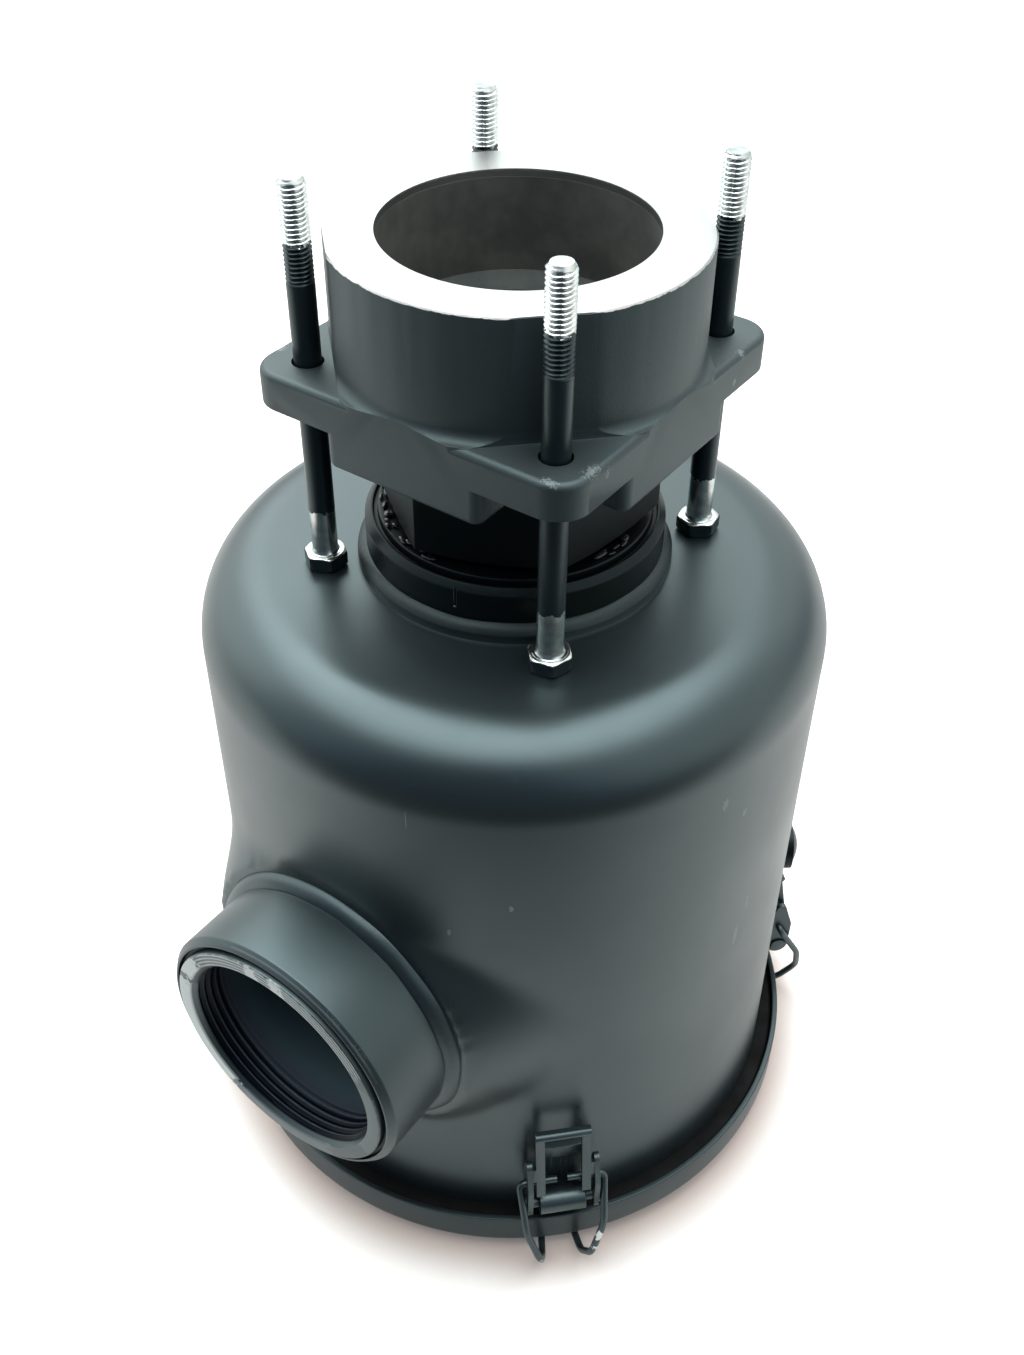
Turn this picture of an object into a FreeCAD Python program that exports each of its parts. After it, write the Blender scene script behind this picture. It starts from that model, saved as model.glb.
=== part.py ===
import FreeCAD, Part
import math
import os
from FreeCAD import Vector

# Inlet filter for a vacuum pump, standing on its lid. All sizes are in millimetres.
# The origin is the middle of the lid's underside, +Z is up, and the side port opens along -Y.
# An azimuth is measured from -Y towards +X, so the four corners of the flange are at 45, 135, 225 and 315.

# Canister
shell_radius = 120.0
shell_wall = 3.0
shell_top = 284.0
shoulder_radius = 28.0
neck_pad_rise = 3.0
neck_pad_ramp = 2.2
neck_pad_margin = 1.0

# Lid and its gasket
lid_overhang = 10.6
lid_sheet = 2.5
lid_rim_height = 19.2
lid_corner_radius = 5.0
lid_step_height = 6.0
lid_pad_inset = 17.0
lid_step_run = 6.0
lid_bend_radius = 2.0
lid_brim_round = 0.75
gasket_seat_width = 6.5
gasket_seat_height = 8.0
gasket_lip_height = 5.6
gasket_side_gap = 0.4
seat_gap = 0.2

# Pipe couplings and the nipple, 3 inch pipe thread
coupling_radius = 55.4
coupling_length = 43.0
thread_minor_radius = 42.5
coupling_mouth_radius = 44.8
coupling_mouth_depth = 2.4
coupling_edge = 1.8
coupling_step_radius = 50.8
coupling_step = 1.4
nipple_bore_radius = 38.5
nipple_thread_gap = 0.1
nipple_engagement = 23.5
hex_across_flats = 91.0
hex_height = 26.5
hex_above_coupling = 2.0
hex_chamfer = 2.6
hex_turn = -6.0

# Height of the neck and place of the side port, from the photograph; the port's reaches count from the wall
neck_coupling_top = 305.5
inlet_height = 134.5
inlet_proud = 34.0
inlet_seat_inset = 3.0
inlet_seat_radius = 64.0
inlet_seat_slope = 0.69
inlet_ramp_run = 50.0
inlet_recess_slope = 1.6
neck_weld_leg = 4.0
inlet_weld_leg = 5.0
weld_crown = 0.5
hole_gap = 0.1

# Pump flange
flange_half_side = 65.0
flange_corner_radius = 12.0
flange_bottom = 340.5
ear_bottom = 354.0
ear_top = 367.0
boss_top = 409.6
boss_radius = 64.0
boss_flat_reach = 62.4
boss_root_radius = 4.0
boss_edge = 0.6
cast_edge_radius = 2.5
outlet_bore_radius = 46.4
outlet_bore_depth = 37.0
outlet_taper_depth = 6.0
relief_radius = 18.5
relief_corner_radius = 4.0
bolt_spacing = 100.0
bolt_hole_radius = 5.55

# Bolts, 3/8 inch by 5 1/2 inch
bolt_radius = 4.7625
bolt_length = 139.7
bolt_head_flats = 14.29
bolt_head_height = 6.1
bolt_head_chamfer = 0.9
bolt_thread_radius = 4.55
bolt_thread_length = 34.0
bolt_tip_chamfer = 0.9
bolt_fillet_radius = 0.6
bolt_seat_gap = 0.1
bolt_turns = {"front": 12.0, "right": 38.0, "back": 5.0, "left": 25.0}

# Gauge boss and plug
gauge_azimuth = 125.0
gauge_height = 120.5
gauge_boss_radius = 11.0
gauge_boss_proud = 5.0
gauge_plug_radius = 9.4
gauge_plug_crown = 3.2
gauge_shank_radius = 5.4
gauge_shank_gap = 0.05

# Toggle clips: the pivot stands off the canister wall, the wire bail hooks under the lid's rim.
# The reaches of the lever's foot and of the bail's bends count outward from the pivot.
clip_azimuths = {"front": 45.0, "right": 135.0, "back": 225.0, "left": 315.0}
pivot_standoff = 10.0
pivot_above_rim = 33.5
bail_pivot_in = 1.0
bail_pivot_up = 14.0
rivet_radius = 2.4
rivet_head_radius = 3.8
rivet_head_height = 0.9
pin_gap = 0.08
bracket_half_width = 9.7
bracket_sheet = 2.2
bracket_top_above_pivot = 28.0
bracket_rib_height = 7.0
bracket_rib_proud = 1.4
barrel_radius = 5.5
lever_sheet = 2.2
lever_half_width = 11.4
lever_window_half_width = 7.7
lever_length = 36.0
lever_foot_above_pivot = 10.5
lever_foot_out = 4.2
lever_lean = 10.4
lever_bar = 3.4
lever_roll_radius = 1.8
lever_shoulder_low = 9.0
lever_shoulder_high = 16.0
cheek_inside = 12.9
cheek_sheet = 2.2
cheek_pivot_radius = 5.0
cheek_bail_radius = 6.2
cheek_neck_radius = 2.4
cheek_neck_up = 26.0
wire_radius = 1.5
wire_hook_gap = 0.3
hook_inset = 5.4
stub_gap = 2.2
bail_half_width = 18.0
bail_hook_half_width = 7.0
bail_bulge_out = 11.0
bail_bulge_below_pivot = 9.0
bail_low_out = 10.4
bail_low_above_hook = 7.5
bail_low_half_width = 15.6
bail_turn_out = 3.0
bail_turn_half_width = 9.0
bail_bends = [2.6, 14.0, 8.0, 4.5, 2.6]

# Filter cartridge
tube_radius = 57.0
tube_wall = 1.0
guard_radius = 83.0
guard_wall = 1.0
pleat_gap = 0.4
pleat_count = 72
pleat_paper = 0.9
cap_sheet = 2.0
cap_rim_gap = 0.3
cap_rim_wall = 1.2
cap_rim_height = 11.0
foot_width = 16.0
foot_height = 6.0
seal_width = 19.0
seal_height = 10.7
seal_side_gap = 0.8
tube_rows = 7
tube_columns = 12
tube_window = 14.0
guard_rows = 6
guard_columns = 16
guard_window = 20.0
window_margin = 14.0
window_fill = 0.75

full_turn = 360.0
X_AXIS = Vector(1, 0, 0)
Y_AXIS = Vector(0, 1, 0)
Z_AXIS = Vector(0, 0, 1)
ORIGIN = Vector(0, 0, 0)

# Levels and reaches that follow from the sizes above
lid_rim_radius = shell_radius + lid_overhang
lid_pad_radius = shell_radius - lid_pad_inset
inlet_reach = shell_radius + inlet_proud
inlet_seat_reach = shell_radius - inlet_seat_inset
lid_floor = lid_step_height + lid_sheet
shell_foot = lid_floor + gasket_seat_height + seat_gap
shell_inside_top = shell_top - shell_wall
neck_pad_top = shell_top + neck_pad_rise
hex_bottom = neck_coupling_top + hex_above_coupling
hex_top = hex_bottom + hex_height
bolt_foot = shell_top + bolt_seat_gap
pivot_reach = shell_radius + pivot_standoff
pivot_height = lid_step_height + pivot_above_rim
lever_foot_reach = pivot_reach + lever_foot_out
bail_bulge_reach = pivot_reach + bail_bulge_out
bail_low_reach = pivot_reach + bail_low_out
bail_turn_reach = pivot_reach + bail_turn_out
bail_pivot_reach = pivot_reach - bail_pivot_in
bail_pivot_height = pivot_height + bail_pivot_up
hook_reach = lid_rim_radius - hook_inset
hook_height = lid_step_height - wire_hook_gap - wire_radius
cap_bottom = lid_sheet + foot_height
pleat_bottom = cap_bottom + cap_sheet
seal_bottom = shell_inside_top - seat_gap - seal_height
pleat_top = seal_bottom - cap_sheet


def edge_line(a, b):
    """Straight edge between two points given as (radius, height)."""
    return Part.makeLine(Vector(a[0], 0, a[1]), Vector(b[0], 0, b[1]))


def edge_arc(a, mid, b):
    """Arc through three points given as (radius, height)."""
    return Part.Arc(Vector(a[0], 0, a[1]), Vector(mid[0], 0, mid[1]), Vector(b[0], 0, b[1])).toShape()


def arc_middle(centre, radius, degrees):
    """Point on a circle, the angle counted from the outward radius."""
    angle = math.radians(degrees)
    return (centre[0] + radius * math.cos(angle), centre[1] + radius * math.sin(angle))


def revolve_edges(edges):
    """Turn a closed outline in the X-Z half plane about Z."""
    face = Part.Face(Part.Wire(edges))
    return face.revolve(ORIGIN, Z_AXIS, full_turn)


def revolve_points(points):
    """Turn a closed polygon of (radius, height) points about Z."""
    corners = [Vector(r, 0, z) for r, z in points]
    return revolve_edges(Part.makePolygon(corners + corners[:1]).Edges)


def ring(inner, outer, low, high):
    """Plain ring between two radii and two heights."""
    return Part.makeCylinder(outer, high - low, Vector(0, 0, low)).cut(
        Part.makeCylinder(inner, high - low, Vector(0, 0, low)))


def turned(shape, degrees):
    """Copy of a shape, turned about the main axis."""
    copy = shape.copy()
    copy.rotate(ORIGIN, Z_AXIS, degrees)
    return copy


def onto_inlet(shape):
    """Stand a shape that was built about +Z on the side port's axis, +Z becoming -Y."""
    copy = shape.copy()
    copy.rotate(ORIGIN, X_AXIS, 90)
    copy.translate(Vector(0, 0, inlet_height))
    return copy


def hexagon(across_flats, height, low, chamfer):
    """Hexagonal prism about Z whose corners are turned off at both ends."""
    corner = across_flats / math.sqrt(3)
    points = [Vector(corner * math.sin(math.radians(60 * i)), -corner * math.cos(math.radians(60 * i)), low)
              for i in range(6)]
    prism = Part.Face(Part.makePolygon(points + points[:1])).extrude(Vector(0, 0, height))
    flat = across_flats / 2
    high = low + height
    turning = revolve_points([(0, low), (flat, low), (corner, low + chamfer), (corner, high - chamfer),
                              (flat, high), (0, high)])
    return prism.common(turning)


def edges_at_height(shape, z):
    """Edges of a shape that lie wholly in one level plane."""
    return [e for e in shape.Edges if abs(e.BoundBox.ZMin - z) < 1e-4 and abs(e.BoundBox.ZMax - z) < 1e-4]


def upright_edges(shape, keep):
    """Straight edges along Z whose (x, y) passes the keep test."""
    found = []
    for edge in shape.Edges:
        box = edge.BoundBox
        if box.XLength < 1e-4 and box.YLength < 1e-4 and keep(box.XMin, box.YMin):
            found.append(edge)
    return found


def canister_profile(radius, top, shoulder, foot):
    """Solid of the canister's outline: straight wall, round shoulder and flat top."""
    side = (radius, top - shoulder)
    crown = (radius - shoulder, top)
    middle = arc_middle((radius - shoulder, top - shoulder), shoulder, 45)
    return revolve_edges([edge_line((0, foot), (radius, foot)), edge_line((radius, foot), side),
                          edge_arc(side, middle, crown), edge_line(crown, (0, top)),
                          edge_line((0, top), (0, foot))])


def inlet_seat(solid, reach, radius, wall_radius):
    """Press a flat round seat into a canister solid: ramps at its sides, a recess above and below it."""
    run = inlet_ramp_run
    ramps = Part.makeCone(radius + inlet_seat_slope * run, radius, run, Vector(0, 0, reach - run), Z_AXIS)
    depth = wall_radius - reach + 1
    recess = Part.makeCone(radius, radius + inlet_recess_slope * depth, depth, Vector(0, 0, reach), Z_AXIS)
    return solid.fuse(onto_inlet(ramps)).cut(onto_inlet(recess))


def make_canister_shell():
    """Drawn steel canister, open at the foot, with its neck pad, port seat and holes."""
    outer = canister_profile(shell_radius, shell_top, shoulder_radius, shell_foot)
    pad_edge = coupling_radius + neck_weld_leg + neck_pad_margin
    pad = revolve_points([(0, shell_top - 1), (pad_edge + neck_pad_ramp, shell_top - 1),
                          (pad_edge + neck_pad_ramp, shell_top), (pad_edge, neck_pad_top), (0, neck_pad_top)])
    outer = inlet_seat(outer, inlet_seat_reach, inlet_seat_radius, shell_radius).fuse(pad)
    inner_radius = shell_radius - shell_wall
    inner = canister_profile(inner_radius, shell_inside_top, shoulder_radius - shell_wall, shell_foot)
    slant = math.sqrt(1 + inlet_seat_slope ** 2)
    inner_seat = inlet_seat_radius + shell_wall * (inlet_seat_slope - slant)
    inner = inlet_seat(inner, inlet_seat_reach - shell_wall, inner_seat, inner_radius)
    neck_hole = Part.makeCylinder(coupling_radius + hole_gap, shoulder_radius,
                                  Vector(0, 0, neck_pad_top - shoulder_radius))
    port_hole = onto_inlet(Part.makeCylinder(coupling_radius + hole_gap, shell_radius, Vector(0, 0, shell_wall)))
    gauge_hole = along_gauge(Part.makeCylinder(gauge_shank_radius + gauge_shank_gap, shell_radius))
    return outer.cut(inner).cut(neck_hole).cut(port_hole).cut(gauge_hole)


def along_gauge(shape):
    """Stand a shape that was built about +Z on the gauge boss's axis, +Z pointing out of the wall."""
    copy = shape.copy()
    copy.rotate(ORIGIN, X_AXIS, 90)
    copy.rotate(ORIGIN, Z_AXIS, gauge_azimuth)
    copy.translate(Vector(0, 0, gauge_height))
    return copy


def weld_bead(leg, base):
    """Convex fillet weld between a coupling and a level seat, built about +Z."""
    foot = (coupling_radius + leg, base)
    head = (coupling_radius, base + leg)
    corner = (coupling_radius, base)
    middle = (coupling_radius + leg / 2 + weld_crown, base + leg / 2 + weld_crown)
    return revolve_edges([edge_line(corner, foot), edge_arc(foot, middle, head), edge_line(head, corner)])


def half_coupling(end):
    """Weld-on half coupling about +Z whose stepped mouth ends at the given height."""
    start = end - coupling_length
    face = end - coupling_step
    return revolve_points([
        (thread_minor_radius, start + coupling_mouth_depth), (coupling_mouth_radius, start),
        (coupling_radius - coupling_edge, start), (coupling_radius, start + coupling_edge),
        (coupling_radius, face - coupling_edge), (coupling_radius - coupling_edge, face),
        (coupling_step_radius + coupling_step / 2, face), (coupling_step_radius - coupling_step / 2, end),
        (coupling_mouth_radius, end), (thread_minor_radius, end - coupling_mouth_depth)])


def make_hex_nipple():
    """Hexagon with a pipe thread spigot below and above, bored through."""
    body = turned(hexagon(hex_across_flats, hex_height, hex_bottom, hex_chamfer), hex_turn)
    spigot = thread_minor_radius - nipple_thread_gap
    low = hex_bottom - nipple_engagement
    high = hex_top + nipple_engagement
    body = body.fuse(Part.makeCylinder(spigot, high - low, Vector(0, 0, low)))
    return body.cut(Part.makeCylinder(nipple_bore_radius, high - low, Vector(0, 0, low)))


def square_prism(half_side, corner, low, high):
    """Square prism about Z with rounded upright corners."""
    box = Part.makeBox(2 * half_side, 2 * half_side, high - low, Vector(-half_side, -half_side, low))
    return box.makeFillet(corner, upright_edges(box, lambda x, y: True))


def bolt_places():
    """Name and axis of each of the four bolts."""
    reach = bolt_spacing / math.sqrt(2)
    places = {}
    for name, azimuth in clip_azimuths.items():
        angle = math.radians(azimuth)
        places[name] = Vector(reach * math.sin(angle), -reach * math.cos(angle), 0)
    return places


def make_flange_casting():
    """Cast pump flange: four thin ears, a deeper skirt relieved round each bolt, and a round boss with flats."""
    ears = square_prism(flange_half_side, flange_corner_radius, ear_bottom, ear_top)
    ears = ears.makeFillet(cast_edge_radius, edges_at_height(ears, ear_bottom) + edges_at_height(ears, ear_top))

    skirt_top = (ear_bottom + ear_top) / 2
    skirt = square_prism(flange_half_side, flange_corner_radius, flange_bottom, skirt_top)
    outward = flange_half_side
    for place in bolt_places().values():
        x_sign = math.copysign(1, place.x)
        y_sign = math.copysign(1, place.y)
        relief = Part.makeCylinder(relief_radius, ear_bottom - flange_bottom, Vector(place.x, place.y, flange_bottom))
        along = Part.makeBox(outward, outward + relief_radius, ear_bottom - flange_bottom)
        across = Part.makeBox(outward + relief_radius, outward, ear_bottom - flange_bottom)
        along.translate(Vector(place.x if x_sign > 0 else place.x - outward,
                               place.y - relief_radius if y_sign > 0 else place.y - outward, flange_bottom))
        across.translate(Vector(place.x - relief_radius if x_sign > 0 else place.x - outward,
                                place.y if y_sign > 0 else place.y - outward, flange_bottom))
        skirt = skirt.cut(relief.fuse([along, across]))
    skirt = skirt.removeSplitter()
    side = flange_half_side - 1e-3
    skirt = skirt.makeFillet(relief_corner_radius, upright_edges(
        skirt, lambda x, y: (abs(x) > side or abs(y) > side) and min(abs(x), abs(y)) < bolt_spacing / 2))
    skirt = skirt.makeFillet(cast_edge_radius, edges_at_height(skirt, flange_bottom))

    root = boss_root_radius
    root_foot = (boss_radius + root, ear_top)
    root_head = (boss_radius, ear_top + root)
    root_middle = arc_middle((boss_radius + root, ear_top + root), root, 225)
    boss = revolve_edges([
        edge_line((0, flange_bottom + cast_edge_radius), (boss_radius, flange_bottom + cast_edge_radius)),
        edge_line((boss_radius, flange_bottom + cast_edge_radius), (boss_radius + root, skirt_top)),
        edge_line((boss_radius + root, skirt_top), root_foot),
        edge_arc(root_foot, root_middle, root_head),
        edge_line(root_head, (boss_radius, boss_top - boss_edge)),
        edge_line((boss_radius, boss_top - boss_edge), (boss_radius - boss_edge, boss_top)),
        edge_line((boss_radius - boss_edge, boss_top), (0, boss_top)),
        edge_line((0, boss_top), (0, flange_bottom + cast_edge_radius))])
    flats = Part.makeBox(2 * boss_flat_reach, 2 * boss_flat_reach, boss_top - skirt_top,
                         Vector(-boss_flat_reach, -boss_flat_reach, skirt_top))
    outline = square_prism(flange_half_side, flange_corner_radius, skirt_top, boss_top)
    boss = boss.common(turned(flats, 45)).common(outline)

    casting = ears.fuse([skirt, boss]).removeSplitter()
    taper_top = boss_top - outlet_bore_depth
    passage = revolve_points([(0, flange_bottom), (thread_minor_radius, flange_bottom),
                              (thread_minor_radius, taper_top - outlet_taper_depth),
                              (outlet_bore_radius, taper_top), (outlet_bore_radius, boss_top), (0, boss_top)])
    casting = casting.cut(passage)
    for place in bolt_places().values():
        casting = casting.cut(Part.makeCylinder(bolt_hole_radius, boss_top - flange_bottom,
                                                Vector(place.x, place.y, flange_bottom)))
    return casting


def make_bolt(place, turn):
    """Hex bolt, head down, standing on the canister's top."""
    head = turned(hexagon(bolt_head_flats, bolt_head_height, bolt_foot, bolt_head_chamfer), turn)
    under_head = bolt_foot + bolt_head_height
    tip = under_head + bolt_length
    neck = bolt_fillet_radius
    thread = tip - bolt_thread_length
    runout = bolt_radius - bolt_thread_radius
    shank = revolve_points([
        (0, under_head), (bolt_radius + neck, under_head), (bolt_radius, under_head + neck),
        (bolt_radius, thread), (bolt_thread_radius, thread + runout),
        (bolt_thread_radius, tip - bolt_tip_chamfer), (bolt_thread_radius - bolt_tip_chamfer, tip), (0, tip)])
    bolt = head.fuse(shank)
    bolt.translate(place)
    return bolt


def make_gauge_boss():
    """Short threaded boss welded on the wall, its foot cut to the wall's curve."""
    top = shell_radius + gauge_boss_proud
    boss = Part.makeCylinder(gauge_boss_radius, top).cut(Part.makeCylinder(gauge_shank_radius + gauge_shank_gap, top))
    return along_gauge(boss).cut(Part.makeCylinder(shell_radius, shell_top))


def make_gauge_plug():
    """Plug with a domed head and a shank through the wall."""
    seat = shell_radius + gauge_boss_proud
    crown = (0, seat + gauge_plug_crown)
    edge = (gauge_plug_radius, seat)
    sphere_radius = (gauge_plug_radius ** 2 + gauge_plug_crown ** 2) / (2 * gauge_plug_crown)
    half = math.degrees(math.asin(gauge_plug_radius / sphere_radius)) / 2
    middle = arc_middle((0, crown[1] - sphere_radius), sphere_radius, 90 - half)
    foot = shell_radius - shell_wall
    plug = revolve_edges([edge_line((0, foot), (gauge_shank_radius, foot)),
                          edge_line((gauge_shank_radius, foot), (gauge_shank_radius, seat)),
                          edge_line((gauge_shank_radius, seat), edge), edge_arc(edge, middle, crown),
                          edge_line(crown, (0, foot))])
    return along_gauge(plug)


def make_lid_cover():
    """Pressed lid: a pad that stands on the floor, a step up, and a turned-up rim."""
    rim = lid_rim_radius
    corner = lid_corner_radius
    low = lid_step_height
    top = low + lid_rim_height
    step_top = lid_pad_radius + lid_step_run
    centre = (rim - corner, low + corner)
    outer_middle = arc_middle(centre, corner, -45)
    inner_middle = arc_middle(centre, corner - lid_sheet, -45)
    inner_rim = rim - lid_sheet
    lid = revolve_edges([
        edge_line((0, 0), (lid_pad_radius, 0)), edge_line((lid_pad_radius, 0), (step_top, low)),
        edge_line((step_top, low), (rim - corner, low)),
        edge_arc((rim - corner, low), outer_middle, (rim, low + corner)),
        edge_line((rim, low + corner), (rim, top)), edge_line((rim, top), (inner_rim, top)),
        edge_line((inner_rim, top), (inner_rim, low + corner)),
        edge_arc((inner_rim, low + corner), inner_middle, (rim - corner, lid_floor)),
        edge_line((rim - corner, lid_floor), (step_top, lid_floor)),
        edge_line((step_top, lid_floor), (lid_pad_radius, lid_sheet)),
        edge_line((lid_pad_radius, lid_sheet), (0, lid_sheet)), edge_line((0, lid_sheet), (0, 0))])
    bends = []
    for edge in lid.Edges:
        box = edge.BoundBox
        if box.ZLength < 1e-4 and box.ZMin < lid_floor + 1e-4:
            if min(abs(box.XMax - lid_pad_radius), abs(box.XMax - step_top)) < 1e-4:
                bends.append(edge)
    lid = lid.makeFillet(lid_bend_radius, bends)
    brim = edges_at_height(lid, top)
    return lid.makeFillet(min(lid_brim_round, 0.4 * lid_sheet), brim)


def make_lid_gasket():
    """Rubber ring in the lid's rim: a seat under the canister's edge and a lip round its wall."""
    outer = lid_rim_radius - lid_sheet
    bend = lid_corner_radius - lid_sheet
    seat_top = lid_floor + gasket_seat_height
    lip_inside = shell_radius + gasket_side_gap
    return revolve_points([(shell_radius - gasket_seat_width, lid_floor), (outer - bend, lid_floor),
                           (outer, lid_floor + bend), (outer, seat_top + gasket_lip_height),
                           (lip_inside, seat_top + gasket_lip_height), (lip_inside, seat_top),
                           (shell_radius - gasket_seat_width, seat_top)])


def section_point(reach, height, across=0.0):
    """Point in a clip's own section, the clip standing at azimuth 0."""
    return Vector(across, -reach, height)


def crosswise(radius, reach, height, low, high):
    """Cylinder across a clip between two distances from its middle."""
    return Part.makeCylinder(radius, high - low, section_point(reach, height, low), X_AXIS)


def lobe(first, first_radius, second, second_radius, low, high):
    """Plate in a clip's section round two circles and the tangents between them."""
    run = second[0] - first[0]
    rise = second[1] - first[1]
    distance = math.hypot(run, rise)
    heading = math.atan2(rise, run)
    spread = math.acos((first_radius - second_radius) / distance)
    corners = []
    for centre, radius, sign in ((first, first_radius, 1), (second, second_radius, 1),
                                 (second, second_radius, -1), (first, first_radius, -1)):
        angle = heading + sign * spread
        corners.append(section_point(centre[0] + radius * math.cos(angle),
                                     centre[1] + radius * math.sin(angle), low))
    web = Part.Face(Part.makePolygon(corners + corners[:1])).extrude(Vector(high - low, 0, 0))
    ends = [crosswise(first_radius, first[0], first[1], low, high),
            crosswise(second_radius, second[0], second[1], low, high)]
    return web.fuse(ends)


def make_clip_bracket():
    """Bracket at azimuth 0: a plate on the wall with a rib at its head, rolled round the rivet at its foot."""
    half = bracket_half_width
    bottom = pivot_height - barrel_radius
    top = pivot_height + bracket_top_above_pivot
    wall = ring(shell_radius, shell_radius + bracket_sheet, bottom, top)
    rib = ring(shell_radius, shell_radius + bracket_sheet + bracket_rib_proud, top - bracket_rib_height, top)
    strip = Part.makeBox(2 * half, pivot_reach, top - bottom, Vector(-half, -pivot_reach, bottom))
    plate = wall.fuse(rib).common(strip)
    strap = Part.makeBox(2 * half, pivot_standoff, bracket_sheet, section_point(pivot_reach, bottom, -half))
    strap = strap.cut(Part.makeCylinder(shell_radius, shell_top))
    barrel = crosswise(barrel_radius, pivot_reach, pivot_height, -half, half)
    bracket = plate.fuse([strap, barrel]).removeSplitter()
    return bracket.cut(crosswise(rivet_radius + pin_gap, pivot_reach, pivot_height, -half, half))


def make_clip_lever():
    """Lever at azimuth 0: a window frame with a rolled bar, and two cheeks that stand outside the barrel."""
    half = lever_half_width
    window = lever_window_half_width
    shoulder = cheek_inside + cheek_sheet
    frame = Part.makeBox(2 * half, lever_sheet, lever_length, Vector(-half, 0, 0))
    frame = frame.cut(Part.makeBox(2 * window, lever_sheet, lever_length - lever_bar, Vector(-window, 0, 0)))
    for low in (-shoulder, half):
        frame = frame.fuse(Part.makeBox(shoulder - half, lever_sheet, lever_shoulder_high - lever_shoulder_low,
                                        Vector(low, 0, lever_shoulder_low)))
    roll = Part.makeCylinder(lever_roll_radius, 2 * half, Vector(-half, lever_sheet - lever_roll_radius,
                                                                 lever_length - lever_roll_radius), X_AXIS)
    frame = frame.fuse(roll)
    frame.rotate(ORIGIN, X_AXIS, -lever_lean)
    frame.translate(section_point(lever_foot_reach, pivot_height + lever_foot_above_pivot))

    pivot = (pivot_reach, pivot_height)
    carrier = (bail_pivot_reach, bail_pivot_height)
    lean = math.tan(math.radians(lever_lean))
    neck_reach = lever_foot_reach - lean * (cheek_neck_up - lever_foot_above_pivot) - lever_sheet
    neck = (neck_reach, pivot_height + cheek_neck_up)
    lever = frame
    for low in (-shoulder, cheek_inside):
        high = low + cheek_sheet
        lever = lever.fuse([lobe(pivot, cheek_pivot_radius, carrier, cheek_bail_radius, low, high),
                            lobe(carrier, cheek_bail_radius, neck, cheek_neck_radius, low, high)])
    lever = lever.removeSplitter()
    lever = lever.cut(crosswise(rivet_radius, pivot_reach, pivot_height, -shoulder, shoulder))
    return lever.cut(crosswise(wire_radius + pin_gap, bail_pivot_reach, bail_pivot_height, -shoulder, shoulder))


def make_clip_rivet():
    """Rivet at azimuth 0, its heads outside the lever's cheeks."""
    shoulder = cheek_inside + cheek_sheet
    rivet = crosswise(rivet_radius, pivot_reach, pivot_height, -shoulder, shoulder)
    for low in (-shoulder - rivet_head_height, shoulder):
        rivet = rivet.fuse(crosswise(rivet_head_radius, pivot_reach, pivot_height, low, low + rivet_head_height))
    return rivet


def rounded_path(points, radii):
    """Wire along straight runs whose inner corners are rounded with tangent arcs."""
    edges = []
    start = points[0]
    for corner, after, radius in zip(points[1:-1], points[2:], radii):
        incoming = (corner - start).normalize()
        outgoing = (after - corner).normalize()
        turn = incoming.getAngle(outgoing)
        cut_back = radius * math.tan(turn / 2)
        first = corner - incoming * cut_back
        last = corner + outgoing * cut_back
        inward = (outgoing - incoming).normalize()
        middle = corner + inward * (radius / math.cos(turn / 2) - radius)
        edges.append(Part.makeLine(start, first))
        edges.append(Part.Arc(first, middle, last).toShape())
        start = last
    edges.append(Part.makeLine(start, points[-1]))
    return Part.Wire(edges)


def make_clip_bail():
    """Wire bail at azimuth 0: stubs through the lever's cheeks, bowed legs, and a bar hooked under the rim."""
    side = [(stub_gap, bail_pivot_reach, bail_pivot_height),
            (bail_half_width, bail_pivot_reach, bail_pivot_height),
            (bail_half_width, bail_bulge_reach, pivot_height - bail_bulge_below_pivot),
            (bail_low_half_width, bail_low_reach, hook_height + bail_low_above_hook),
            (bail_turn_half_width, bail_turn_reach, hook_height),
            (bail_hook_half_width, hook_reach, hook_height)]
    right = [section_point(reach, height, across) for across, reach, height in side]
    left = [section_point(reach, height, -across) for across, reach, height in reversed(side)]
    path = rounded_path(right + left, bail_bends + bail_bends[::-1])
    profile = Part.Wire(Part.makeCircle(wire_radius, right[0], X_AXIS))
    return path.makePipeShell([profile], True, False)


def windows(rows, columns, size, low, high, reach):
    """Boxes that cut square windows through a tube, evenly spaced in rows and columns."""
    pitch = (high - low - 2 * window_margin) / rows
    boxes = []
    for row in range(rows):
        height = min(size, pitch * window_fill)
        middle = low + window_margin + (row + 0.5) * pitch
        box = Part.makeBox(size, 2 * reach, height, Vector(-size / 2, -reach, middle - height / 2))
        boxes += [turned(box, full_turn * column / columns) for column in range(columns // 2)]
    return Part.makeCompound(boxes)


def make_inner_tube():
    """Perforated tube that the pleats stand against."""
    tube = ring(tube_radius, tube_radius + tube_wall, pleat_bottom, pleat_top)
    cutters = windows(tube_rows, tube_columns, tube_window, pleat_bottom, pleat_top, tube_radius + 2 * tube_wall)
    return tube.cut(cutters)


def make_guard():
    """Outer guard round the pleats."""
    guard = ring(guard_radius - guard_wall, guard_radius, pleat_bottom, pleat_top)
    cutters = windows(guard_rows, guard_columns, guard_window, pleat_bottom, pleat_top, guard_radius + guard_wall)
    return guard.cut(cutters)


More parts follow.
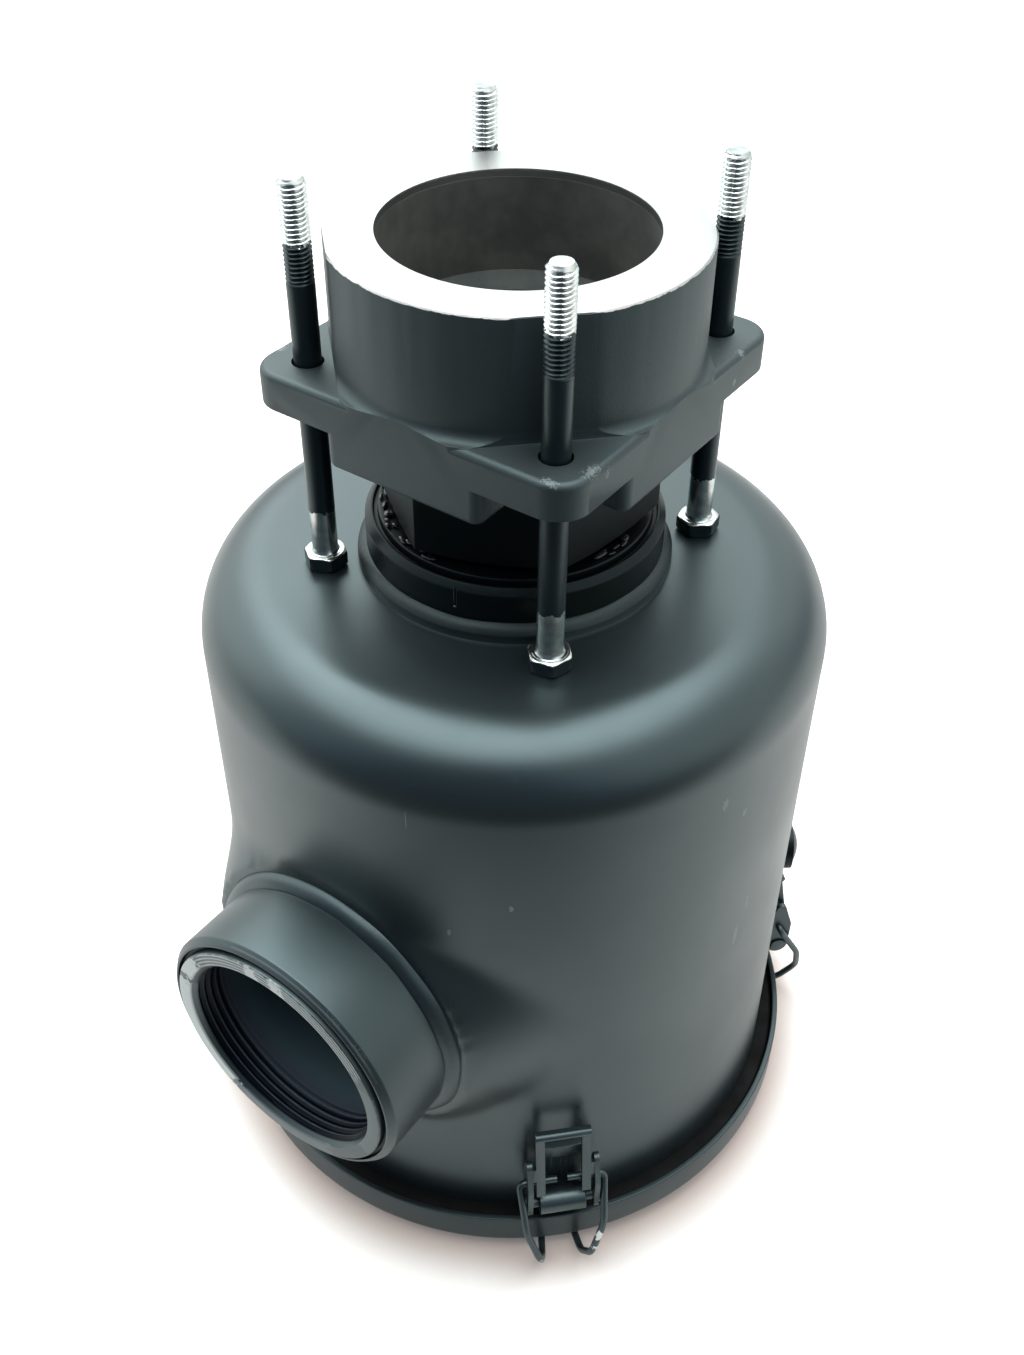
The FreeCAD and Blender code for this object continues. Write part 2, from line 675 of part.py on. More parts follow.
def make_pleats():
    """Pleated paper: a zigzag between the tube and the guard, with its own thickness."""
    inner = tube_radius + tube_wall + pleat_gap
    outer = guard_radius - guard_wall - pleat_gap
    steps = 2 * pleat_count
    outside = []
    inside = []
    for step in range(steps):
        angle = math.radians(full_turn * step / steps)
        crest = outer if step % 2 == 0 else inner + pleat_paper
        trough = crest - pleat_paper
        outside.append(Vector(crest * math.cos(angle), crest * math.sin(angle), pleat_bottom))
        inside.append(Vector(trough * math.cos(angle), trough * math.sin(angle), pleat_bottom))
    outer_wire = Part.makePolygon(outside + outside[:1])
    inner_wire = Part.makePolygon(inside + inside[:1])
    height = Vector(0, 0, pleat_top - pleat_bottom)
    return Part.Face(outer_wire).extrude(height).cut(Part.Face(inner_wire).extrude(height))


def end_cap(level, direction, hole):
    """Sheet cap with a rim turned over the guard; direction is +1 for a rim that points up."""
    rim_inside = guard_radius + cap_rim_gap
    rim_outside = rim_inside + cap_rim_wall
    back = level - direction * cap_sheet
    rim_end = level + direction * cap_rim_height
    return revolve_points([(hole, back), (rim_outside, back), (rim_outside, rim_end), (rim_inside, rim_end),
                           (rim_inside, level), (hole, level)])


def write(name, shape):
    """Check a sub-part, print its volume and write it."""
    solids = shape.Solids
    if not solids or not shape.isValid():
        raise ValueError("bad solid: " + name)
    result = solids[0] if len(solids) == 1 else Part.makeCompound(solids)
    result.exportStep("parts/" + name + ".step")
    print("%-24s solids %2d volume %9.0f mm3" % (name, len(solids), shape.Volume))


os.makedirs("parts", exist_ok=True)

write("lid_cover", make_lid_cover())
write("lid_gasket", make_lid_gasket())
write("cartridge_foot", ring(guard_radius - foot_width, guard_radius, lid_sheet, cap_bottom))
write("cartridge_bottom_cap", end_cap(pleat_bottom, 1, 0))
write("cartridge_inner_tube", make_inner_tube())
write("cartridge_pleats", make_pleats())
write("cartridge_guard", make_guard())
write("cartridge_top_cap", end_cap(pleat_top, -1, coupling_radius + seal_side_gap))
write("cartridge_seal", ring(coupling_radius + seal_side_gap, coupling_radius + seal_side_gap + seal_width,
                             seal_bottom, seal_bottom + seal_height))

write("canister_shell", make_canister_shell())
write("neck_weld", weld_bead(neck_weld_leg, neck_pad_top))
write("inlet_weld", onto_inlet(weld_bead(inlet_weld_leg, inlet_seat_reach)))
write("neck_socket", half_coupling(neck_coupling_top))
write("inlet_socket", onto_inlet(half_coupling(inlet_reach)))
write("hex_nipple", make_hex_nipple())
write("flange_casting", make_flange_casting())
write("gauge_boss", make_gauge_boss())
write("gauge_plug", make_gauge_plug())

for bolt_name, bolt_place in bolt_places().items():
    write("bolt_" + bolt_name, make_bolt(bolt_place, bolt_turns[bolt_name]))

bracket = make_clip_bracket()
lever = make_clip_lever()
rivet = make_clip_rivet()
bail = make_clip_bail()
for clip_name, clip_azimuth in clip_azimuths.items():
    write("clip_bracket_" + clip_name, turned(bracket, clip_azimuth))
    write("clip_lever_" + clip_name, turned(lever, clip_azimuth))
    write("clip_rivet_" + clip_name, turned(rivet, clip_azimuth))
    write("clip_bail_" + clip_name, turned(bail, clip_azimuth))
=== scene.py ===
import math

import bmesh
import bpy
import numpy as np
from mathutils import Matrix, Vector


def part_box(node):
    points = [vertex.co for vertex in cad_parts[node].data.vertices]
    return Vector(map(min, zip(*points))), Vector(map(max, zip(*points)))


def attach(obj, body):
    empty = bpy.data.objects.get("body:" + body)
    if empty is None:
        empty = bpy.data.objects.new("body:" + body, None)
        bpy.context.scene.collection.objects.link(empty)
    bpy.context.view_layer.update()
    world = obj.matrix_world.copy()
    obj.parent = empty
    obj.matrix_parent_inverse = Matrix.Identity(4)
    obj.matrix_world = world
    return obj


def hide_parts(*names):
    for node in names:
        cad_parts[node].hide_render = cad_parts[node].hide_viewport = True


# A vacuum pump's inlet filter, standing on its lid. The side port opens along -Y.
# Azimuths are counted from -Y towards +X. Everything is in metres, in the model's own frame.
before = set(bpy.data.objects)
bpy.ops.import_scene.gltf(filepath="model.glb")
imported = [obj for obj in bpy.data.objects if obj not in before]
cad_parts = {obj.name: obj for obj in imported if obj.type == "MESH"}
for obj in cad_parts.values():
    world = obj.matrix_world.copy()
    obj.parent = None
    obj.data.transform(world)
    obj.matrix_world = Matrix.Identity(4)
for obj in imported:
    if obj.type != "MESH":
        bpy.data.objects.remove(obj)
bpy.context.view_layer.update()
print("frame loaded:", len(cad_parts), "nodes")

mm = 0.001
clipAzimuths = {"front": 45.0, "right": 135.0, "back": 225.0, "left": 315.0}


def nodeSpan(name):
    # lowest and highest corner of a node, as arrays
    low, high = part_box(name)
    return np.array(low), np.array(high)


# Places that the frame gives
shellLow, shellHigh = nodeSpan("canister_shell")
rimLow, rimHigh = nodeSpan("lid_cover")
portLow, portHigh = nodeSpan("inlet_socket")
neckLow, neckHigh = nodeSpan("neck_socket")
castLow, castHigh = nodeSpan("flange_casting")
shellRadius = shellHigh[0]
rimRadius = rimHigh[0]
portRadius = portHigh[0]
portHeight = (portLow[2] + portHigh[2]) / 2
portReach = -portLow[1]
portStart = -portHigh[1]
bossTop = castHigh[2]


# Mesh helpers

def gridFaces(rows, columns, wrapRows=False, wrapColumns=False):
    # quads between neighbouring points of a rows x columns grid
    i = np.arange(rows if wrapRows else rows - 1)
    j = np.arange(columns if wrapColumns else columns - 1)
    i, j = np.meshgrid(i, j, indexing="ij")
    iNext, jNext = (i + 1) % rows, (j + 1) % columns
    corners = [i * columns + j, iNext * columns + j, iNext * columns + jNext, i * columns + jNext]
    return np.stack(corners, axis=-1).reshape(-1, 4)


def cleaned(mesh, gap, slivers=False):
    # doubles merged, slivers dissolved where asked, faces turned outward
    work = bmesh.new()
    work.from_mesh(mesh)
    bmesh.ops.remove_doubles(work, verts=work.verts, dist=gap)
    if slivers:
        bmesh.ops.dissolve_degenerate(work, edges=work.edges, dist=1e-6)
    bmesh.ops.recalc_face_normals(work, faces=work.faces)
    work.to_mesh(mesh)
    work.free()


def finished(name, mesh, material, sharpAngle):
    # the object of a mesh, smooth but for its sharp edges, in its material
    mesh.shade_smooth()
    mesh.set_sharp_from_angle(angle=math.radians(sharpAngle))
    mesh.materials.append(material)
    piece = bpy.data.objects.new(name, mesh)
    bpy.context.scene.collection.objects.link(piece)
    return piece


def meshPiece(name, points, faces, material, sharpAngle=38.0, closed=True):
    # one mesh object from points (n, 3) and quads (m, 4); closed ones are merged at poles and turned outward
    mesh = bpy.data.meshes.new(name)
    mesh.from_pydata(points.reshape(-1, 3).tolist(), [], faces.tolist())
    if closed:
        cleaned(mesh, 1e-6)
    return finished(name, mesh, material, sharpAngle)


def gridPiece(name, points, wrapRows, material, sharpAngle=38.0, wrapColumns=True):
    # mesh object from a grid of points (rows, columns, 3)
    faces = gridFaces(*points.shape[:2], wrapRows, wrapColumns)
    return meshPiece(name, points, faces, material, sharpAngle)


def dressedCopy(node, name, material, bevelWidth, bevelAngle):
    # a copy of a CAD node with its doubles merged and its edges rounded by a bevel
    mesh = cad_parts[node].data.copy()
    mesh.name = name
    cleaned(mesh, 2e-6, slivers=True)
    mesh.materials.clear()
    piece = finished(name, mesh, material, bevelAngle)
    bevel = piece.modifiers.new("softEdges", "BEVEL")
    bevel.width = bevelWidth
    bevel.segments = 2
    bevel.limit_method = "ANGLE"
    bevel.angle_limit = math.radians(bevelAngle)
    bevel.harden_normals = True
    bevel.use_clamp_overlap = True
    return piece


def settle(piece, body, slot, *nodes):
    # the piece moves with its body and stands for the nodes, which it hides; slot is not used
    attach(piece, body)
    if nodes:
        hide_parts(*nodes)
    return piece


def cornerArc(before, here, after, rounding, count):
    # arc of count points, tangent to the two sides that meet at a corner
    inward = (before - here) / np.linalg.norm(before - here)
    outward = (after - here) / np.linalg.norm(after - here)
    half = math.acos(float(np.clip(inward @ outward, -1, 1))) / 2
    middle = here + (inward + outward) / np.linalg.norm(inward + outward) * rounding / math.sin(half)
    start = here + inward * rounding / math.tan(half) - middle
    end = here + outward * rounding / math.tan(half) - middle
    turn = math.pi - 2 * half
    share = np.linspace(0, 1, count)[:, None]
    return middle + (start * np.sin((1 - share) * turn) + end * np.sin(share * turn)) / math.sin(turn)


def roundedOutline(corners, steps=5):
    # closed outline of (radius, height, rounding) corners
    points = np.array([c[:2] for c in corners], float)
    found = []
    for k, (_, _, rounding) in enumerate(corners):
        sides = points[k - 1], points[k], points[(k + 1) % len(corners)]
        found.append(cornerArc(*sides, rounding, steps + 1) if rounding > 0 else points[k:k + 1])
    return np.concatenate(found)


def smooth(share):
    # from 0 to 1 with level ends
    share = np.clip(share, 0, 1)
    return share * share * (3 - 2 * share)


def pointsOf(*parts):
    # points from their coordinates, any of which may be a single number
    return np.stack(np.broadcast_arrays(*parts), axis=-1)


def around(azimuth, radius, height):
    # points round Z: x = r sin a, y = -r cos a
    return pointsOf(radius * np.sin(azimuth), -radius * np.cos(azimuth), height)


def swung(points, angle):
    # points turned about Z
    x, y, z = np.moveaxis(points, -1, 0)
    along, across = math.cos(angle), math.sin(angle)
    return pointsOf(x * along - y * across, x * across + y * along, z)


def ringOf(columns):
    # even angles round a full turn, as a column
    return np.linspace(0, 2 * math.pi, columns, endpoint=False)[:, None]


def turnedPiece(name, outline, columns, material, radiusChange=None, place=None):
    # closed ring: each outline point swept round Z, its radius changed by a function of azimuth, radius and
    # height; place maps the finished points to where they belong
    radius, height = np.repeat(outline.T[:, None], columns, axis=1)
    azimuth = ringOf(columns)
    if radiusChange is not None:
        radius = radius + radiusChange(azimuth, radius, height)
    points = around(azimuth, radius, height)
    return gridPiece(name, points if place is None else place(points), True, material)


def ontoPort(points):
    # a shape built about +Z, stood on the side port's axis: its height becomes the reach along -Y
    return pointsOf(points[..., 0], -points[..., 2], portHeight + points[..., 1])


def drift(angle, seed, waves=(1, 2, 3, 5, 8)):
    # slow even wobble round a ring, about -1 to 1: a sum of cosines with fixed random phases
    source = np.random.default_rng(seed)
    total = 0
    for wave in waves:
        total = total + source.uniform(0.4, 1.0) * np.cos(wave * angle + source.uniform(0, 2 * math.pi))
    return total / (0.7 * len(waves))


# Shader helpers

class nodeSheet:
    # a small wrapper that adds and links shader nodes; colours are given as red, green and blue
    def __init__(self, tree):
        self.tree = tree
        self.shader = next((n for n in tree.nodes if n.type == "BSDF_PRINCIPLED"), None)

    def add(self, kind, **inputs):
        node = self.tree.nodes.new(kind)
        for key, value in inputs.items():
            self.feed(node, key, value)
        return node

    def feed(self, node, key, value):
        # the key is a socket's name with _ for its spaces, or i and its number
        socket = node.inputs[int(key[1:]) if key[1:].isdigit() else key.replace("_", " ")]
        if isinstance(value, bpy.types.NodeSocket):
            self.tree.links.new(value, socket)
        elif socket.type == "RGBA":
            socket.default_value = (*value, 1.0)
        else:
            socket.default_value = value

    def place(self):
        return self.add("ShaderNodeTexCoord").outputs["Object"]

    def math(self, operation, first, second=0.0):
        node = self.add("ShaderNodeMath", i0=first, i1=second)
        node.operation = operation
        return node.outputs[0]

    def plus(self, first, second):
        return self.math("ADD", first, second)

    def minus(self, first, second):
        return self.math("SUBTRACT", first, second)

    def times(self, product, *factors):
        for factor in factors:
            product = self.math("MULTIPLY", product, factor)
        return product

    def either(self, mask, *others):
        # the strongest of several masks
        for other in others:
            mask = self.math("MAXIMUM", mask, other)
        return mask

    def vector(self, operation, first, second=(0.0, 0.0, 0.0)):
        # LENGTH and DOT_PRODUCT give a value, the others a vector
        node = self.add("ShaderNodeVectorMath", i0=first, i1=second)
        node.operation = operation
        return node.outputs["Value" if operation in ("LENGTH", "DOT_PRODUCT") else "Vector"]

    def between(self, value, low, high):
        # 0 below low, 1 above high, smooth in between
        node = self.add("ShaderNodeMapRange", Value=value, From_Min=low, From_Max=high)
        node.interpolation_type = "SMOOTHSTEP"
        return node.outputs["Result"]

    def band(self, value, low, high, softness):
        # 1 from low to high, fading over the softness on either side of each end
        return self.times(self.between(value, low - softness, low + softness),
                          self.between(value, high + softness, high - softness))

    def mixed(self, kind, firstSocket, result, share, first, second):
        node = self.add("ShaderNodeMix")
        node.data_type = kind
        for number, value in ((0, share), (firstSocket, first), (firstSocket + 1, second)):
            self.feed(node, f"i{number}", value)
        return node.outputs[result]

    def mixColour(self, share, first, second):
        return self.mixed("RGBA", 6, 2, share, first, second)

    def mixValue(self, share, first, second):
        return self.mixed("FLOAT", 2, 0, share, first, second)

    def layers(self, colour, *coats):
        # coats of (mask, colour), each over the ones before
        for mask, coat in coats:
            colour = self.mixColour(mask, colour, coat)
        return colour

    def noise(self, vector, scale, detail=2.0, roughness=0.5):
        return self.add("ShaderNodeTexNoise", Vector=vector, Scale=scale, Detail=detail,
                        Roughness=roughness).outputs[0]

    def ragged(self, vector, scale, detail, roughness, depth):
        # noise about zero; the depth is the span from its lowest to its highest
        return self.times(self.minus(self.noise(vector, scale, detail, roughness), 0.5), depth)

    def surface(self, colour, roughness, metallic=0.0):
        self.feed(self.shader, "Base Color", colour)
        self.feed(self.shader, "Roughness", roughness)
        self.feed(self.shader, "Metallic", metallic)

    def gloss(self, level, tint):
        self.feed(self.shader, "Specular IOR Level", level)
        self.feed(self.shader, "Specular Tint", tint)

    def relief(self, height, strength):
        bump = self.add("ShaderNodeBump", Height=height, Strength=strength, Distance=0.2 * mm)
        self.feed(self.shader, "Normal", bump.outputs[0])


def newGroup(name, inputs, outputs):
    # a node group with its inputs (name: start value) and outputs; returns the group, a sheet, the sockets
    # that its inputs feed and its output node
    tree = bpy.data.node_groups.new(name, "ShaderNodeTree")
    for label, value in inputs.items():
        kind = "NodeSocketVector" if isinstance(value, tuple) else "NodeSocketFloat"
        tree.interface.new_socket(label, in_out="INPUT", socket_type=kind).default_value = value
    for label in outputs:
        tree.interface.new_socket(label, in_out="OUTPUT", socket_type="NodeSocketFloat")
    start = tree.nodes.new("NodeGroupInput")
    end = tree.nodes.new("NodeGroupOutput")
    return tree, nodeSheet(tree), start.outputs, end


def makePaintSkin():
    # sprayed paint: soft orange peel, fine grain, and a slow change of tone
    tree, sheet, start, end = newGroup(
        "paintSkin", {"Peel Scale": 420.0, "Peel Depth": 0.25, "Grain Scale": 2600.0, "Grain Depth": 0.06},
        ["Height", "Tone"])
    place = sheet.place()
    peel = sheet.times(sheet.noise(place, start["Peel Scale"], 1.5), start["Peel Depth"])
    grain = sheet.times(sheet.noise(place, start["Grain Scale"], 3.0, 0.65), start["Grain Depth"])
    sheet.feed(end, "Height", sheet.plus(peel, grain))
    sheet.feed(end, "Tone", sheet.between(sheet.noise(place, 14.0, 3.0, 0.55), 0.3, 0.7))
    return tree


def makeWornSpot():
    # ragged round spot about a point, squeezed along an axis by Stretch
    tree, sheet, start, end = newGroup(
        "wornSpot", {"Centre": (0.0, 0.0, 0.0), "Stretch": (1, 1, 1), "Radius": 3.0 * mm, "Ragged": 0.5,
                     "Grain Scale": 900.0}, ["Mask"])
    place = sheet.place()
    away = sheet.vector("MULTIPLY", sheet.vector("SUBTRACT", place, start["Centre"]), start["Stretch"])
    share = sheet.math("DIVIDE", sheet.vector("LENGTH", away), start["Radius"])
    rough = sheet.ragged(place, start["Grain Scale"], 3.0, 0.6, start["Ragged"])
    sheet.feed(end, "Mask", sheet.between(sheet.plus(share, sheet.times(rough, 4.0)), 1.0, 0.85))
    return tree


def makeScratches():
    # sparse hairline scratches: thin ridges of stretched noise, kept only where a coarse noise is high
    tree, sheet, start, end = newGroup("scratches", {"Density": 0.5}, ["Mask"])
    place = sheet.place()
    mapping = sheet.add("ShaderNodeMapping", Vector=place, Rotation=(0.4, 0.2, 0.7), Scale=(900, 60, 60))
    ridge = sheet.math("ABSOLUTE", sheet.minus(sheet.noise(mapping.outputs[0], 1.0, 1.0), 0.5))
    line = sheet.between(ridge, 0.012, 0.004)
    limit = sheet.minus(1.0, start["Density"])
    patch = sheet.between(sheet.noise(place, 35.0, 1.0), limit, sheet.plus(limit, 0.05))
    sheet.feed(end, "Mask", sheet.times(line, patch))
    return tree


paintSkin = makePaintSkin()
wornSpot = makeWornSpot()
scratches = makeScratches()


def grouped(sheet, tree, **inputs):
    # one use of a shared group in a material
    node = sheet.tree.nodes.new("ShaderNodeGroup")
    node.node_tree = tree
    for key, value in inputs.items():
        sheet.feed(node, key, value)
    return node


def newMaterial(name):
    # material with a Principled shader, and its sheet
    material = bpy.data.materials.new(name)
    material.use_nodes = True
    return material, nodeSheet(material.node_tree)


def spotMasks(sheet, spots, ragged=0.5, grain=900.0):
    # worn spots at given points: (centre in mm, radius in mm, stretch)
    return [grouped(sheet, wornSpot, Centre=tuple(c * mm for c in centre), Radius=radius * mm, Stretch=stretch,
                    Ragged=ragged, Grain_Scale=grain).outputs[0] for centre, radius, stretch in spots]


def wallPoint(azimuth, height):
    # point on the canister's wall in mm
    return tuple(around(math.radians(azimuth), shellRadius / mm, height))


def clipPoint(clip, across, reach, height):
    # point in mm, given in a clip's own measures: sideways, from the canister's axis, and up
    return tuple(swung(np.array((across, -reach, height)), math.radians(clipAzimuths[clip])))


paint = {
    "dark": (0.0070, 0.0098, 0.0120), "light": (0.0105, 0.0142, 0.0168), "roughness": 0.33,
    "primer": (0.16, 0.17, 0.175), "steel": (0.5, 0.5, 0.5), "sheen": (0.74, 0.96, 1.0), "wornRoughness": 0.5,
}


def makePaint(name, peelDepth, grainDepth, roughness, tint=1.0, peelScale=420.0, spots=(), density=0.0,
              mirror=1.0, cast=(1, 1, 1), bare=paint["primer"]):
    # satin blue-grey paint with its relief, and bare spots and scratches where it was rubbed
    material, sheet = newMaterial(name)
    skin = grouped(sheet, paintSkin, Peel_Depth=peelDepth, Grain_Depth=grainDepth, Peel_Scale=peelScale)
    tone = skin.outputs["Tone"]
    dark, light = ([c * tint * k for c, k in zip(paint[key], cast)] for key in ("dark", "light"))
    colour = sheet.mixColour(tone, dark, light)
    rough = sheet.mixValue(tone, roughness * 1.12, roughness * 0.92)
    masks = spotMasks(sheet, spots)
    if density > 0:
        masks.append(grouped(sheet, scratches, Density=density).outputs[0])
    if masks:
        worn = sheet.either(*masks)
        colour = sheet.mixColour(sheet.times(worn, 0.8), colour, bare)
        rough = sheet.mixValue(worn, rough, paint["wornRoughness"])
    sheet.surface(colour, rough)
    sheet.gloss(mirror, paint["sheen"])
    sheet.relief(skin.outputs["Height"], 0.5)
    return material


castingFinish = {
    "landDepth": 2.9 * mm, "boreRadius": 47.5 * mm, "edgeDrop": 0.55 * mm,
    "dark": (0.011, 0.0140, 0.0155), "light": (0.017, 0.0205, 0.0225), "face": (0.56, 0.54, 0.53),
    "land": (0.30, 0.29, 0.28), "bore": (0.055, 0.050, 0.044), "boreLight": (0.095, 0.088, 0.078),
    "roughness": 0.50, "boreRoughness": 0.6, "metalRoughness": 0.36, "metallic": 0.9, "mirror": 0.88,
    "spots": [((62.6, -50.2, 366.0), 1.9, (1.0, 0.5, 1.0)), ((64.0, -44.0, 363.5), 1.2, (1, 1, 0.6)),
              ((63.5, 41.0, 366.0), 1.6, (1, 1, 1)), ((64.8, 36.0, 358.0), 1.2, (1, 1, 1)),
              ((56.0, -62.5, 366.4), 1.3, (0.5, 1.0, 1.0)), ((-63.0, -49.0, 366.3), 1.5, (1.0, 0.6, 1.0))],
}


def makeCasting():
    # the pump flange: grainy paint outside, machined face on top, a light machined land and a brown cast bore
    f = castingFinish
    material, sheet = newMaterial("castingFinish")
    place = sheet.place()
    x, y, z = sheet.add("ShaderNodeSeparateXYZ", Vector=place).outputs
    radius = sheet.vector("LENGTH", sheet.add("ShaderNodeCombineXYZ", X=x, Y=y).outputs[0])
    inside = sheet.between(radius, f["boreRadius"] + 0.2 * mm, f["boreRadius"] - 0.2 * mm)
    edge = bossTop - f["edgeDrop"]
    chipped = sheet.plus(z, sheet.ragged(place, 260.0, 4.0, 0.7, 1.5 * mm))
    face = sheet.between(chipped, edge - 0.12 * mm, edge + 0.12 * mm)
    landStart = bossTop - f["landDepth"]
    wobbly = sheet.plus(z, sheet.ragged(place, 60.0, 1.0, 0.5, 0.5 * mm))
    land = sheet.times(sheet.between(wobbly, landStart - 0.1 * mm, landStart + 0.1 * mm), inside)
    skin = grouped(sheet, paintSkin, Peel_Depth=0.25, Peel_Scale=700.0, Grain_Depth=0.55, Grain_Scale=2200.0)
    worn = sheet.either(*spotMasks(sheet, f["spots"], 0.9, 1500.0))
    stain = sheet.between(sheet.noise(place, 55.0, 4.0, 0.6), 0.35, 0.7)
    colour = sheet.layers(
        sheet.mixColour(skin.outputs["Tone"], f["dark"], f["light"]),
        (sheet.times(worn, 0.7), paint["primer"]),
        (inside, sheet.mixColour(stain, f["bore"], f["boreLight"])), (land, f["land"]), (face, f["face"]))
    metal = sheet.either(face, land)
    rough = sheet.mixValue(inside, f["roughness"], f["boreRoughness"])
    rough = sheet.mixValue(metal, rough, f["metalRoughness"])
    sheet.surface(colour, rough, sheet.times(metal, f["metallic"]))
    sheet.gloss(f["mirror"], paint["sheen"])
    turning = sheet.noise(sheet.add("ShaderNodeCombineXYZ", X=radius).outputs[0], 5200.0, 1.0)
    sheet.relief(sheet.mixValue(metal, skin.outputs["Height"], sheet.times(turning, 0.10)), 0.6)
    return material


boltPaint = {
    "headLine": 289.85 * mm, "lowLine": 308.2 * mm, "highLine": 409.0 * mm, "colour": (0.007, 0.0115, 0.0145),
    "zinc": (0.55, 0.55, 0.53), "zincLight": (0.80, 0.80, 0.78), "zincRoughness": 0.24, "roughness": 0.32,
}


def makeBoltFinish():
    # zinc plated steel with dark overspray between two ragged lines on the shank and on the head's sides
    f = boltPaint
    material, sheet = newMaterial("boltFinish")
    place = sheet.place()
    height = sheet.add("ShaderNodeSeparateXYZ", Vector=place).outputs[2]
    rough = sheet.ragged(place, 420.0, 3.0, 0.6, 5.0 * mm)
    shank = sheet.band(sheet.plus(height, rough), f["lowLine"], f["highLine"], 0.1 * mm)
    head = sheet.plus(height, sheet.times(rough, 0.06))
    head = sheet.between(head, f["headLine"], f["headLine"] - 0.25 * mm)
    rub = sheet.between(sheet.noise(place, 1400.0, 3.0, 0.7), 0.74, 0.80)
    painted = sheet.times(sheet.either(shank, head), sheet.minus(1.0, sheet.times(rub, 0.5)))
    tone = sheet.between(sheet.noise(place, 300.0, 3.0), 0.3, 0.7)
    colour = sheet.mixColour(painted, sheet.mixColour(tone, f["zinc"], f["zincLight"]), f["colour"])
    sheet.surface(colour, sheet.mixValue(painted, f["zincRoughness"], f["roughness"]),
                  sheet.minus(1.0, painted))
    sheet.gloss(0.5, paint["sheen"])
    sheet.relief(sheet.noise(place, 2200.0, 3.0), 0.12)
    return material


def makePlain(name, first, second, roughness, metallic=0.0, relief=0.1, mirror=0.5):
    # two-tone material for rubber, plated sheet, paper and plastic
    material, sheet = newMaterial(name)
    place = sheet.place()
    tone = sheet.between(sheet.noise(place, 60.0, 4.0, 0.6), 0.3, 0.7)
    sheet.surface(sheet.mixColour(tone, first, second),
                  sheet.mixValue(tone, roughness * 1.15, roughness * 0.9), metallic)
    sheet.gloss(mirror, (1, 1, 1))
    sheet.relief(sheet.noise(place, 1800.0, 3.0, 0.6), relief)
    return material


portWear = {
    # angles seen from outside, counted from +X towards +Z; each is (from, to) in degrees
    "bright": [(142, 158), (163, 236), (94, 101), (80, 88)], "dull": [(60, 132), (240, 300), (-30, 20)],
    # edge spans only the top, where the outer edge gets a painted highlight
    "chips": [(36, 46), (53, 60)], "lines": [(30, 140)], "edge": [(30, 110)], "linePitch": 1.5,
    # radii and depths in mm, each as (none, full)
    "ringRadius": (50.6, 50.0), "ringDepth": (0.9, 0.25), "chipRadius": (53.6, 54.2), "chipDepth": (4.5, 3.6),
    "litEdgeRadius": (53.7, 54.2), "litEdgeDepth": (3.2, 2.6), "boreRadius": (46.2, 45.6), "boreDepth": (1.6, 2.6),
    "crestRadius": (42.72, 42.56), "smoothDepth": (15.5, 25.0), "grooveInner": (50.55, 50.7),
    "grooveOuter": (52.4, 52.25), "grooveDepth": (4.5, 3.5), "raggedTurn": 26.0, "raggedRing": 3.0,
    # in the bore the smooth colour is lighter as a painted reflection of the light from outside
    "thread": (0.002, 0.003, 0.006), "crest": (0.055, 0.065, 0.085), "smooth": (0.055, 0.085, 0.10),
    # groove is a near black painted shade in the groove
    "chip": (0.006, 0.006, 0.007), "groove": (0.0015, 0.0018, 0.002),
    "roughness": 0.39, "rubbedRoughness": 0.45, "boreMirror": 0.10,
}


def angleMask(sheet, angle, spans, softness):
    # 1 where an angle in degrees is inside one of the spans
    return sheet.either(*(sheet.band(angle, low, high, softness) for low, high in spans))


